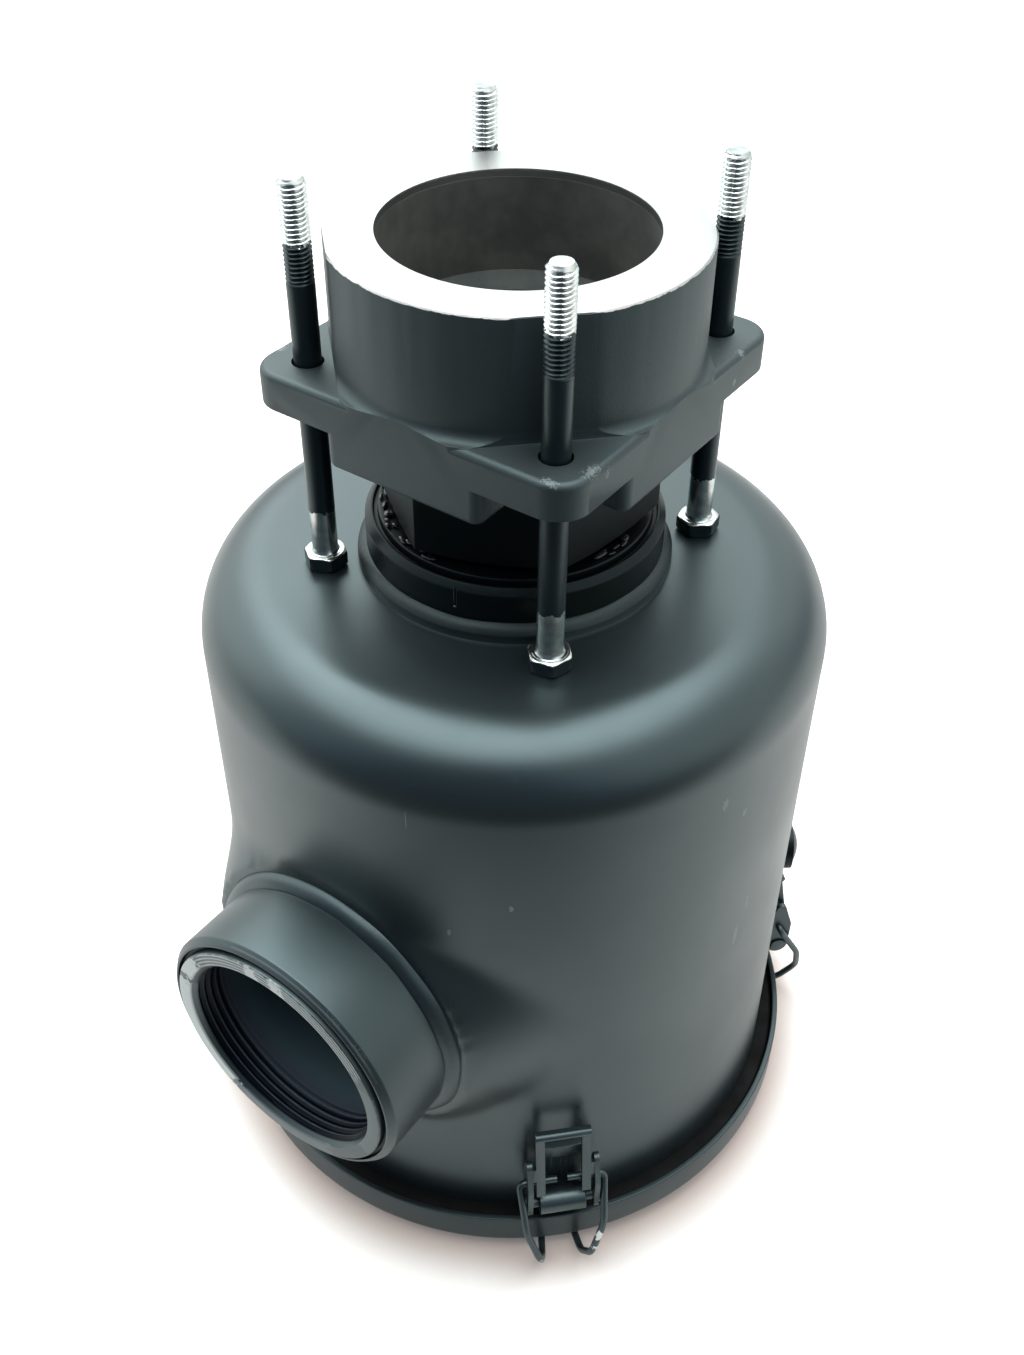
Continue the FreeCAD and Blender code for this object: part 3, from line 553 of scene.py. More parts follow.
def makePortFinish():
    # painted coupling whose raised ring is rubbed down to primer and bare steel in places
    f = portWear
    material, sheet = newMaterial("portFinish")
    place = sheet.place()
    x, y, z = sheet.add("ShaderNodeSeparateXYZ", Vector=place).outputs
    up, depth = sheet.minus(z, portHeight), sheet.plus(y, portReach)
    radius = sheet.vector("LENGTH", sheet.add("ShaderNodeCombineXYZ", X=x, Z=up).outputs[0])
    angle = sheet.math("WRAP", sheet.times(sheet.math("ARCTAN2", up, x), 180 / math.pi), 330.0)
    angle.node.inputs[2].default_value = -30.0
    rough = sheet.ragged(place, 330.0, 4.0, 0.7, 1.0)
    ragged = sheet.plus(angle, sheet.times(rough, f["raggedTurn"]))

    def zone(value, key):
        none, full = f[key]
        return sheet.between(value, none * mm, full * mm)

    ring = sheet.times(zone(depth, "ringDepth"),
                       zone(sheet.plus(radius, sheet.times(rough, f["raggedRing"] * mm)), "ringRadius"))
    bright = sheet.times(ring, angleMask(sheet, ragged, f["bright"], 1.2))
    dull = sheet.times(ring, angleMask(sheet, ragged, f["dull"], 4.0))
    chips = sheet.times(zone(depth, "chipDepth"), zone(radius, "chipRadius"),
                        sheet.between(sheet.noise(place, 800.0, 3.0, 0.7), 0.54, 0.6),
                        angleMask(sheet, angle, f["chips"], 1.0))
    # in the bore the thread is near black with rubbed crests, and the smooth end behind it is painted lighter:
    # a painted reflection of the light from outside
    inBore = sheet.times(zone(depth, "boreDepth"), zone(radius, "boreRadius"))
    thread = sheet.mixColour(sheet.times(zone(radius, "crestRadius"), 0.8), f["thread"], f["crest"])
    inside = sheet.mixColour(zone(depth, "smoothDepth"), thread, f["smooth"])
    # rubbed lines round the ring; the outer edge lightened along its top only, a painted highlight; and the
    # groove painted near black, painted shade
    wave = sheet.math("SINE", sheet.times(radius, 2 * math.pi / (f["linePitch"] * mm)))
    lines = sheet.times(ring, sheet.between(wave, 0.2, 0.7), angleMask(sheet, ragged, f["lines"], 4.0))
    # painted highlight: the outer edge is lightened toward primer along its top only
    edge = sheet.times(zone(depth, "litEdgeDepth"), zone(radius, "litEdgeRadius"),
                       angleMask(sheet, ragged, f["edge"], 8.0))
    # painted shade: the groove is painted near black
    groove = sheet.times(zone(radius, "grooveInner"), zone(radius, "grooveOuter"), zone(depth, "grooveDepth"))
    skin = grouped(sheet, paintSkin, Peel_Depth=0.2, Grain_Depth=0.12)
    colour = sheet.layers(
        sheet.mixColour(skin.outputs["Tone"], paint["dark"], paint["light"]),
        (sheet.times(dull, 0.5), paint["primer"]), (bright, paint["steel"]), (chips, f["chip"]),
        (inBore, inside), (sheet.times(lines, 0.75), paint["steel"]),
        (sheet.times(edge, 0.35), paint["primer"]), (groove, f["groove"]))
    rubbed = sheet.either(bright, dull, lines)
    sheet.surface(colour, sheet.mixValue(rubbed, f["roughness"], f["rubbedRoughness"]),
                  sheet.times(bright, 0.6))
    sheet.gloss(sheet.mixValue(sheet.either(inBore, groove), 1.0, f["boreMirror"]), paint["sheen"])
    sheet.relief(sheet.minus(skin.outputs["Height"], sheet.times(chips, 0.8)), 0.6)
    return material


wallMarks = [
    (wallPoint(17.3, 266.0), 1.3, (1, 1, 0.7)), (wallPoint(18.0, 254.0), 0.7, (4.0, 4.0, 0.16)),
    (wallPoint(35.1, 215.9), 0.9, (1, 1, 0.6)), (wallPoint(24.6, 200.1), 0.8, (1, 1, 0.5)),
    (wallPoint(27.0, 119.7), 0.9, (1, 1, 1.2)), (wallPoint(29.6, 118.7), 0.7, (1, 1, 1.5)),
    (wallPoint(73.2, 241.9), 1.2, (1, 1, 0.4)), (wallPoint(78.7, 230.7), 1.0, (1, 1, 0.5)),
    (wallPoint(82.2, 156.0), 1.4, (1, 1, 0.25)), (wallPoint(84.5, 172.0), 1.2, (1, 1, 0.3)),
]
# spots at the wire's lowest bends, bare to near white: chipped paint, and also a painted highlight standing
# for the glints there
bailChipsAndGlints = [
    (clipPoint("front", -11.6, 143.0, 15.6), 1.9, (1, 1, 1)),
    (clipPoint("front", 14.2, 143.2, 27.0), 1.9, (1, 1, 0.7)),
    (clipPoint("front", 12.4, 143.4, 20.0), 1.6, (1, 1, 1)),
]
canisterPaint = makePaint("canisterPaint", 0.16, 0.10, paint["roughness"], spots=wallMarks, density=0.22)
lidPaint = makePaint("lidPaint", 0.16, 0.16, 0.36, tint=0.7, mirror=0.6)
# painted shade: this paint is a quarter as light and less glossy, standing for the shade under the flange on
# the neck coupling; the gauge boss shares it
shadedFittingPaint = makePaint("shadedFittingPaint", 0.22, 0.18, 0.36, tint=0.25, mirror=0.26)
portWeldPaint = makePaint("portWeldPaint", 0.30, 0.20, 0.36)
# painted shade: this paint is about a fifth as light and less glossy, standing for the shade under the flange
# on the hex nipple
shadedNipplePaint = makePaint("shadedNipplePaint", 0.30, 0.30, 0.45, tint=0.22, mirror=0.22)
weldPaint = makePaint("weldPaint", 0.45, 0.4, 0.45, tint=1.5, peelScale=520, mirror=0.5, cast=(1.3, 1, 0.85))
clipPaint = makePaint("clipPaint", 0.15, 0.25, 0.34, tint=1.1, density=0.25)
# the near white bare colour of the bail's spots is partly a painted highlight
bailPaint = makePaint("bailPaint", 0.15, 0.25, 0.34, tint=0.9, spots=bailChipsAndGlints, bare=(0.9, 0.9, 0.87))
castingPaint = makeCasting()
portPaint = makePortFinish()
boltFinish = makeBoltFinish()
sealRubber = makePlain("sealRubber", (0.0018, 0.0018, 0.002), (0.004, 0.004, 0.0045), 0.62, mirror=0.12)
sealantGloss = makePlain("sealantGloss", (0.006, 0.007, 0.009), (0.02, 0.023, 0.028), 0.12, relief=0.4)
platedSheet = makePlain("platedSheet", (0.45, 0.46, 0.46), (0.62, 0.63, 0.63), 0.34, metallic=1.0)
filterPaper = makePlain("filterPaper", (0.50, 0.40, 0.22), (0.66, 0.55, 0.34), 0.85, relief=0.3)
plugPlastic = makePlain("plugPlastic", (0.010, 0.011, 0.012), (0.016, 0.017, 0.018), 0.38)
print("materials made:", len(bpy.data.materials))


canister = {
    "wall": 3.0 * mm, "top": 284.0 * mm, "shoulder": 28.0 * mm, "foot": shellLow[2],
    "holeRadius": neckHigh[0] + 0.1 * mm, "padEdge": 58.2 * mm, "padFoot": 58.9 * mm,
    "seatReach": 117.0 * mm, "seatRadius": 64.0 * mm, "rampSlope": 0.69, "rampRun": 34.0 * mm,
    "recessSlope": 1.6, "fineAzimuth": 75, "fineTurn": 1.0, "coarseTurn": 2.5, "rowStep": 2.3 * mm,
    "fineFoot": 44.0 * mm, "softenSteps": 14, "wave": 0.09 * mm, "flare": 1.6 * mm, "flareTop": 170.0 * mm,
    "dip": {"azimuth": 36.0, "spread": 40.0, "from": 78.0 * mm, "to": 102.0 * mm, "depth": 0.9 * mm},
}


def canisterProfile():
    # neck hole rim, pad, flat top, quarter-round shoulder, straight wall: rows of (radius, height)
    c = canister
    pad = pointsOf(np.linspace(c["holeRadius"], c["padEdge"], 4), shellHigh[2])
    rise = np.linspace(0, 1, 5)[1:]
    ramp = pointsOf(c["padEdge"] + (c["padFoot"] - c["padEdge"]) * rise,
                    shellHigh[2] - (shellHigh[2] - c["top"]) * smooth(rise))
    crown = shellRadius - c["shoulder"]
    top = pointsOf(np.linspace(c["padFoot"], crown, 12)[1:-1], c["top"])
    turn = np.linspace(math.pi / 2, 0, 19)
    shoulder = pointsOf(crown + c["shoulder"] * np.cos(turn), c["top"] - c["shoulder"] * (1 - np.sin(turn)))
    fine = np.arange(c["top"] - c["shoulder"] - c["rowStep"], c["fineFoot"], -c["rowStep"])
    wall = np.concatenate([fine, np.linspace(fine[-1], c["foot"], 9)[1:]])
    wall = pointsOf(shellRadius + c["flare"] * np.clip(1 - wall / c["flareTop"], 0, 1) ** 2, wall)
    return np.concatenate([pad, ramp, top, shoulder, wall])


def makeCanister():
    # profile swept round Z, its wall pushed along Y onto the port's seat: a flat disc, ramps out at its
    # sides and a shallow recess above and below; the push is softened over neighbouring points
    c = canister
    fine = c["fineAzimuth"]
    azimuth = np.radians(np.concatenate([np.arange(-fine, fine, c["fineTurn"]),
                                         np.arange(fine, 360 - fine, c["coarseTurn"])]))[:, None]
    profile = canisterProfile()
    radius, height = profile[:, 0][None], profile[:, 1][None]
    below = height < c["top"] - 2 * mm
    radius = radius + c["wave"] * drift(azimuth + height * 9, 3, (2, 3, 5, 7)) * below
    x, y = radius * np.sin(azimuth), -radius * np.cos(azimuth)
    # the shoulder's start is pressed down a little in front
    d = c["dip"]
    turn = (np.degrees(azimuth) - d["azimuth"] + 180) % 360 - 180
    front = np.cos(np.clip(turn / d["spread"], -1, 1) * math.pi / 2) ** 2
    depth = smooth((radius - d["from"]) / (d["to"] - d["from"]))
    depth = depth * np.clip((height - c["top"] + c["shoulder"]) / c["shoulder"], 0, 1)
    z = height - d["depth"] * front * depth
    away = np.hypot(x, z - portHeight)
    ramp = c["seatReach"] - np.maximum(away - c["seatRadius"], 0) / c["rampSlope"]
    ramp = np.where(away < c["seatRadius"] + c["rampRun"], ramp, 0)
    recess = c["seatReach"] + np.maximum(away - c["seatRadius"], 0) / c["recessSlope"]
    wallZone = (y < 0) & (radius > shellRadius - 2 * mm) & (z < c["top"] - c["shoulder"])
    sharp = np.where(wallZone, np.maximum(np.minimum(-y, recess), ramp) + y, 0)
    pinned = wallZone & (away < c["seatRadius"] - 0.5 * mm)
    push = sharp.copy()
    for _ in range(c["softenSteps"]):
        across = (np.roll(push, 1, axis=0) + np.roll(push, -1, axis=0)) / 2
        along = push.copy()
        along[:, 1:-1] = (push[:, 2:] + push[:, :-2]) / 2
        push = np.where(pinned, sharp, (push + (across + along) / 2) / 2)
    push[:, -4:] = 0
    y = y - push
    points = pointsOf(x, y, z)
    faces = gridFaces(len(azimuth), len(profile), True, False)
    # the port's hole: cells inside it are dropped and its rim is drawn onto the circle
    holeRadius = portRadius + 0.1 * mm
    flatPoints = points.reshape(-1, 3)
    distance = np.hypot(flatPoints[:, 0], flatPoints[:, 2] - portHeight)
    distance[flatPoints[:, 1] > 0] = 1.0
    dropped = distance[faces].mean(axis=1) < holeRadius
    kept = faces[~dropped]
    rim = np.intersect1d(np.unique(faces[dropped]), np.unique(kept))
    pull = holeRadius / distance[rim]
    flatPoints[rim, 0] *= pull
    flatPoints[rim, 2] = portHeight + (flatPoints[rim, 2] - portHeight) * pull
    flatPoints[rim, 1] = -c["seatReach"]
    used, packed = np.unique(kept, return_inverse=True)
    piece = meshPiece("canister", flatPoints[used], packed.reshape(kept.shape)[:, ::-1], canisterPaint,
                      sharpAngle=60.0, closed=False)
    solid = piece.modifiers.new("sheetThickness", "SOLIDIFY")
    solid.thickness = c["wall"]
    solid.offset = -1.0
    solid.use_even_offset = True
    return piece


settle(makeCanister(), "housing", "canister_paint", "canister_shell")
print("canister made")


# Weld beads: a fillet's section carried round the coupling, with ripples and an uneven toe

weldShape = {
    "neck": {"leg": 3.4 * mm, "crown": 0.5 * mm, "ripple": 0.05 * mm, "uneven": 0.25 * mm, "wide": 0.0},
    "inlet": {"leg": 4.6 * mm, "crown": 0.8 * mm, "ripple": 0.03 * mm, "uneven": 0.45 * mm, "wide": 4.5 * mm},
    "ripples": 96, "bow": 2.6, "wander": 1.5, "lean": 0.7, "wideAt": -38.0, "wideReach": 0.3,
    "sunk": 0.25 * mm,
}


def weldPoints(name, inner, base, seed, columns=288, rows=11):
    # section: quarter fillet from the seat to the coupling bulging by a sine; the ripple runs round with a
    # phase that grows across the bead, so that its crests are bowed; the toe is wider on one side
    v, w = weldShape, weldShape[name]
    angle = ringOf(columns)
    across = np.linspace(0, 1, rows)[None]
    side = np.clip(np.cos(angle - math.radians(v["wideAt"])), 0, 1) ** 2
    reach = w["leg"] + w["uneven"] * drift(angle, seed, (3, 5, 7, 11, 13)) + v["wideReach"] * w["wide"] * side
    rise = w["leg"] + w["uneven"] * drift(angle, seed + 1, (2, 4, 7, 9, 14)) + w["wide"] * side
    phase = v["ripples"] * angle + v["bow"] * np.cos(math.pi * (across - 0.5))
    phase = phase + v["wander"] * drift(angle, seed + 2)
    bulge = v["lean"] * np.sin(math.pi * across) * (w["crown"] + w["ripple"] * np.cos(phase))
    radius = inner + reach * (1 - across) + bulge
    height = base + rise * across + bulge
    back = np.full((columns, 1), inner - v["sunk"])
    under = np.full((columns, 1), base - v["sunk"])
    radius = np.concatenate([radius, back, back, radius[:, :1]], axis=1)
    height = np.concatenate([height, height[:, -1:], under, under], axis=1)
    return around(angle, radius, height)


def makeWelds():
    neck = weldPoints("neck", neckHigh[0], shellHigh[2], 11)
    inlet = ontoPort(weldPoints("inlet", portRadius, canister["seatReach"], 23))
    for points, material, name in ((neck, weldPaint, "neck"), (inlet, portWeldPaint, "inlet")):
        bead = gridPiece(name + "WeldBead", points, True, material, 70.0)
        settle(bead, "housing", "fitting_paint", name + "_weld")


makeWelds()

coupling = {
    "bore": 42.5 * mm, "mouth": 44.9 * mm, "mouthDepth": 2.4 * mm, "bandEdge": 53.2 * mm, "bandDrop": 1.5 * mm,
    "groove": (52.3 * mm, 50.6 * mm), "grooveDepth": 3.4 * mm, "ringRound": 0.7 * mm,
    "pitch": 25.4 * mm / 8, "threadDepth": 1.2 * mm, "threadRun": 17.5 * mm,
}


def couplingOutline(start, end, threadRows):
    # outer wall, chamfered band, groove, raised ring, mouth cone and a bore with rows for the thread
    k = coupling
    outer = neckHigh[0]
    band = end - k["bandDrop"]
    deep = end - k["grooveDepth"]
    corners = [
        (outer, start + 1.8 * mm, 0.6 * mm), (outer, band - 2.6 * mm, 1.2 * mm),
        (k["bandEdge"], band, 0.5 * mm), (k["groove"][0], band, 0.25 * mm),
        (k["groove"][0] - 0.2 * mm, deep, 0.25 * mm),
        (k["groove"][1], deep, 0.25 * mm), (k["groove"][1] - 0.1 * mm, end, k["ringRound"]),
        (k["mouth"], end, 0.5 * mm)]
    head = roundedOutline(corners + [(k["bore"], end - k["mouthDepth"], 0), (k["bore"], start + 2 * mm, 0),
                                     (k["mouth"], start, 0), (outer - 1.8 * mm, start, 0)], 4)
    mouthAt = int(np.argmax((head[:, 0] <= k["bore"] + 1e-9)))
    rows = np.linspace(end - k["mouthDepth"], start + 2 * mm, threadRows)
    bore = pointsOf(k["bore"], rows)
    return np.concatenate([head[:mouthAt], bore, head[mouthAt + 2:]])


def threadedBore(end):
    # the radius grows by a sharp wave of (height / pitch - turn), fading in at the mouth and out further in
    k = coupling

    def change(azimuth, radius, height):
        depth = end - height
        phase = (height / k["pitch"] - azimuth / (2 * math.pi)) % 1.0
        ridge = np.clip(1.18 * (1 - np.abs(2 * phase - 1)) - 0.09, 0, 1)
        fade = np.clip((depth - 0.4 * mm) / (2 * mm), 0, 1)
        fade = fade * np.clip((k["threadRun"] - depth) / (13 * mm), 0, 1)
        inBore = (radius < k["mouth"] + 0.3 * mm) & (height < end - 0.6 * mm) & (depth < k["threadRun"])
        return np.where(inBore, ridge * fade * k["threadDepth"], 0)

    return change


def makeCouplings():
    inlet = couplingOutline(portStart, portReach, 150)
    piece = turnedPiece("inletCoupling", inlet, 144, portPaint, threadedBore(portReach), place=ontoPort)
    settle(piece, "housing", "fitting_paint", "inlet_socket")
    neck = couplingOutline(neckLow[2], neckHigh[2], 6)
    piece = turnedPiece("neckCoupling", neck, 192, shadedFittingPaint)
    settle(piece, "housing", "fitting_paint", "neck_socket")


makeCouplings()
print("couplings made")


boltShape = {
    "radius": 4.7625 * mm, "pitch": 25.4 * mm / 16, "threadLength": 34.0 * mm, "threadDepth": 0.92 * mm,
    "flats": 14.29 * mm, "headHeight": 6.1 * mm, "chamfer": 1.0 * mm, "topFace": 0.94, "underFace": 0.95,
    "tipRun": 1.7 * mm, "columns": 48,
}
boltTurns = {"front": 12.0, "right": 38.0, "back": 5.0, "left": 25.0}


def makeBolt(name):
    # one surface from the head's middle to the tip: rows of (radius, height), each row's radius cut to the
    # hexagon on the head and to the helical thread near the tip
    b = boltShape
    low, high = nodeSpan("bolt_" + name)
    middle = (low + high) / 2
    foot, tip = low[2], high[2]
    flat, corner = b["flats"] / 2, b["flats"] / math.sqrt(3)
    bearing, shank = foot + b["headHeight"], b["radius"]
    top, under, drop = flat * b["topFace"], flat * b["underFace"], 0.75 * b["chamfer"]
    t = np.linspace(0.2, 1, 5)
    head = [(0, foot), (flat * 0.5, foot), (top, foot),
            *zip(top + (corner - top) * t, foot + b["chamfer"] * t), (corner, bearing - drop),
            *zip(corner - (corner - under) * t, bearing - drop * (1 - t)),
            (shank + 1.5 * mm, bearing), (shank + 1.4 * mm, bearing + 0.25 * mm),
            (shank + 0.5 * mm, bearing + 0.3 * mm), (shank, bearing + 1.0 * mm)]
    threadStart = tip - b["threadLength"]
    levels = [*np.linspace(bearing + 3 * mm, threadStart - 1.5 * mm, 8),
              *np.arange(threadStart - 1.4 * mm, tip - 1e-5, b["pitch"] / 8), tip]
    rows = np.array(head + [(shank, z) for z in levels] + [(0, tip)])
    azimuth = ringOf(b["columns"])
    radius, height = np.repeat(rows.T[:, None], b["columns"], axis=1)
    sector = (azimuth + math.pi / 6) % (math.pi / 3) - math.pi / 6
    radius = np.where(height < bearing + 1e-6, np.minimum(radius, flat / np.cos(sector)), radius)
    phase = (height / b["pitch"] - azimuth / (2 * math.pi)) % 1.0
    groove = np.clip(1.3 * (1 - np.abs(2 * phase - 1)) - 0.12, 0, 1)
    fadeIn = np.clip((height - threadStart + 1.2 * mm) / (2 * mm), 0, 1)
    groove = np.where(radius > 1 * mm, groove * fadeIn * b["threadDepth"], 0)
    radius = radius - groove * (height > bearing + 5 * mm)
    tipRadius = shank - 1.25 * mm * np.clip((height - (tip - b["tipRun"])) / b["tipRun"], 0, 1)
    radius = np.where(height > tip - b["tipRun"], np.minimum(radius, np.maximum(tipRadius, 0)), radius)
    points = around(azimuth + math.radians(boltTurns[name]), radius, height) + (middle[0], middle[1], 0)
    piece = gridPiece(name + "Bolt", points, True, boltFinish, 40.0, wrapColumns=False)
    return settle(piece, "bolt_" + name, "bolt_zinc", "bolt_" + name)


for boltName in boltTurns:
    makeBolt(boltName)
print("bolts made")


lidShape = {"corner": 5.0 * mm, "sheet": 2.5 * mm, "step": 6.0 * mm, "pad": 103.0 * mm, "run": 6.0 * mm}


def makeLid():
    # pressed lid: pad, step, rounded corner and upright rim, turned from one closed outline
    s = lidShape
    t = s["sheet"]
    top = rimHigh[2]
    outline = roundedOutline([
        (0, 0, 0), (s["pad"], 0, 2 * mm), (s["pad"] + s["run"], s["step"], 2 * mm),
        (rimRadius, s["step"], s["corner"]), (rimRadius, top, 0.5 * mm), (rimRadius - t, top, 0.5 * mm),
        (rimRadius - t, s["step"] + t, s["corner"] - t), (s["pad"] + s["run"], s["step"] + t, 2 * mm),
        (s["pad"], t, 2 * mm), (0, t, 0)], 6)
    wobble = 0.12 * mm

    def change(azimuth, radius, height):
        return wobble * drift(azimuth, 41, (2, 3, 4, 6)) * (radius > s["pad"] + s["run"])

    settle(turnedPiece("lid", outline, 240, lidPaint, change), "lid", "lid_paint", "lid_cover")


def makeGasket():
    # rubber ring with a rounded lip against the wall
    low, high = nodeSpan("lid_gasket")
    outer = high[0]
    inside = shellRadius - 6.5 * mm
    wall = shellRadius + 0.4 * mm
    seat = canister["foot"] - 0.2 * mm
    outline = roundedOutline([
        (inside, low[2], 0), (outer - 2.5 * mm, low[2], 0), (outer, low[2] + 2.5 * mm, 0),
        (outer, high[2], 1.6 * mm), (wall, high[2], 1.0 * mm), (wall, seat, 0.3 * mm),
        (inside, seat, 0.3 * mm)], 4)
    settle(turnedPiece("rubberGasket", outline, 200, sealRubber), "lid", "seal_rubber", "lid_gasket")


makeLid()
makeGasket()
print("lid and gasket made")


# Pieces whose solids carry the shape: copies with rounded edges

dressed = [
    # node, name, material, width of the rounding, angle that counts as an edge, body, slot
    ("flange_casting", "pumpFlange", castingPaint, 0.35 * mm, 24.0, "housing", "casting_paint"),
    ("hex_nipple", "hexNipple", shadedNipplePaint, 0.5 * mm, 30.0, "housing", "fitting_paint"),
    ("gauge_boss", "gaugeBoss", shadedFittingPaint, 0.5 * mm, 30.0, "housing", "fitting_paint"),
    ("gauge_plug", "gaugePlug", plugPlastic, 0.3 * mm, 30.0, "housing", "plug_plastic"),
]
for clip in clipAzimuths:
    dressed += [
        ("clip_bracket_" + clip, clip + "ClipBracket", clipPaint, 0.35 * mm, 30.0, "housing", "clip_paint"),
        ("clip_lever_" + clip, clip + "ClipLever", clipPaint, 0.4 * mm, 30.0, "lever_" + clip, "clip_paint"),
        ("clip_rivet_" + clip, clip + "ClipRivet", clipPaint, 0.25 * mm, 30.0, "lever_" + clip, "clip_paint"),
    ]
for node, name, material, width, angle, body, slot in dressed:
    settle(dressedCopy(node, name, material, width, angle), body, slot, node)

wireShape = {
    # half of the bail, (across, reach, height) from the stub in the lever's window to the bar under the rim
    "corners": [(2.2, 129.0, 53.5), (18.0, 129.0, 53.5), (16.4, 140.5, 33.0), (11.0, 144.0, 16.2),
                (8.5, 136.0, 4.2), (7.0, 125.2, 4.2)],
    "bends": [2.6, 20.0, 10.0, 7.0, 2.6], "radius": 1.5, "columns": 14,
}


def bentWire(corners, bends, steps=9):
    # straight runs whose corners are arcs tangent to both runs
    points = np.array(corners, float)
    arcs = [cornerArc(*points[k - 1:k + 2], bend, steps) for k, bend in enumerate(bends, start=1)]
    return np.concatenate([points[:1], *arcs, points[-1:]])


def tubePoints(path, radius, columns):
    # circles carried along a path, square to it; each starts where the last one did, turned with it
    ahead = np.gradient(path, axis=0)
    ahead /= np.linalg.norm(ahead, axis=1)[:, None]
    side = np.empty_like(ahead)
    first = np.cross(ahead[0], [0.0, 0.0, 1.0])
    side[0] = first / np.linalg.norm(first)
    for k in range(1, len(path)):
        turned = side[k - 1] - ahead[k] * (side[k - 1] @ ahead[k])
        side[k] = turned / np.linalg.norm(turned)
    up = np.cross(ahead, side)
    angle = ringOf(columns)[None]
    return path[:, None] + radius * (side[:, None] * np.cos(angle) + up[:, None] * np.sin(angle))


def cappedTube(points):
    # a tube's points with both ends drawn in to a flat cap at the end ring's middle
    first, last = points[:1].mean(axis=1, keepdims=True), points[-1:].mean(axis=1, keepdims=True)
    return np.concatenate([np.repeat(first, points.shape[1], 1), points, np.repeat(last, points.shape[1], 1)])


def makeBail(clip):
    w = wireShape
    right = [(a, -r, z) for a, r, z in w["corners"]]
    left = [(-a, -r, z) for a, r, z in reversed(w["corners"])]
    path = bentWire(right + left, w["bends"] + w["bends"][::-1]) * mm
    points = cappedTube(tubePoints(path, w["radius"] * mm, w["columns"]))
    points = swung(points, math.radians(clipAzimuths[clip]))
    piece = gridPiece(clip + "ClipBail", points, False, bailPaint, 50.0)
    return settle(piece, "bail_" + clip, "clip_paint", "clip_bail_" + clip)


for clip in clipAzimuths:
    makeBail(clip)
print("clips made")


# What shows only inside or through the port keeps its solid and gets a finish

innerFinish = {
    "cartridge_foot": sealRubber, "cartridge_seal": sealRubber, "cartridge_bottom_cap": platedSheet,
    "cartridge_top_cap": platedSheet, "cartridge_inner_tube": platedSheet, "cartridge_guard": platedSheet,
    "cartridge_pleats": filterPaper,
}
for node, material in innerFinish.items():
    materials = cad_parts[node].data.materials
    materials.clear()
    materials.append(material)


sealant = {
    # the spans are (from, to, number of blobs), in degrees of azimuth
    "ring": 47.6 * mm, "level": neckHigh[2] + 0.7 * mm, "rows": 9, "columns": 12,
    "spans": [(-78.0, -30.0, 15), (-22.0, 8.0, 5), (62.0, 92.0, 6)],
    "drip": {"azimuth": 13.5, "top": 303.5 * mm, "bottom": 294.5 * mm, "width": 0.55 * mm},
}


def makeSealant():
    # thread sealant squeezed out under the hexagon: flat blobs, each a sphere pulled about by a slow wave,
    # and one drip that ran down the coupling and ends in a bead
    source = np.random.default_rng(5)
    rows, columns = sealant["rows"], sealant["columns"]
    down = np.linspace(0, math.pi, rows)[:, None]
    about = ringOf(columns).T
    pieces = []

    def blob(azimuth, reach, height, wide, thick, tall):
        wave = 1 + 0.3 * np.cos(2 * about + source.uniform(0, 6)) * np.sin(down) ** 2
        flat = wave * np.sin(down)
        local = pointsOf(flat * np.cos(about) * wide, flat * np.sin(about) * thick, np.cos(down) * tall)
        pieces.append((swung(local, azimuth) + around(azimuth, reach, height)).reshape(-1, 3))

    for low, high, count in sealant["spans"]:
        for azimuth in np.radians(source.uniform(low, high, count)):
            size = source.uniform(0.6, 1.5) * mm
            reach = sealant["ring"] + source.uniform(-1.5, 2.0) * mm
            blob(azimuth, reach, sealant["level"], size * 1.9, size, size * 0.5)
    drip = sealant["drip"]
    middle, half = (drip["top"] + drip["bottom"]) / 2, (drip["top"] - drip["bottom"]) / 2
    azimuth, outside, wide = math.radians(drip["azimuth"]), neckHigh[0], drip["width"]
    blob(azimuth - 0.008, outside, middle, wide * 0.7, wide * 0.5, half)
    blob(azimuth + 0.012, outside, middle - 0.5 * mm, wide * 0.6, wide * 0.5, half * 0.8)
    blob(azimuth, outside, drip["bottom"], wide * 1.8, wide, wide * 1.1)
    faces = [gridFaces(rows, columns, False, True) + number * rows * columns for number in range(len(pieces))]
    piece = meshPiece("neckSealant", np.concatenate(pieces), np.concatenate(faces), sealantGloss, 80.0)
    settle(piece, "housing", "fitting_paint")


makeSealant()


# Floor, light and camera

studio = {
    # lobes of light as (azimuth, elevation, degrees to the bright core, degrees to the faded edge, level)
    "lobes": [(250.0, 82.0, 8.0, 50.0, 4.8), (200.0, 30.0, 15.0, 55.0, 1.15), (236.0, 42.0, 8.0, 32.0, 1.3),
              (268.0, 24.0, 10.0, 42.0, 1.7), (110.0, 32.0, 15.0, 60.0, 1.0), (305.0, 26.0, 10.0, 45.0, 0.6)],
    "ambient": 0.10, "tint": (0.95, 1.0, 0.99), "dimTint": (0.60, 1.0, 1.35),
    # floorShade is the colour of the painted contact shadow near the rim
    "floorHalf": 3.0, "floorTint": (0.92, 0.87, 0.85), "floorShade": (0.50, 0.39, 0.35), "floorGlow": 0.10,
    "shadeReach": 30.0 * mm,
    # the floor's colour for bounced light: behind, in front and far in front, along this direction
    "front": (0.574, -0.819, 0.0), "bounceBack": (0.56, 0.535, 0.52), "bounceFront": (0.07, 0.07, 0.07),
    "bounceFar": (0.008, 0.008, 0.009), "frontFrom": 0.18, "frontTo": 0.42, "farTo": 0.50,
}


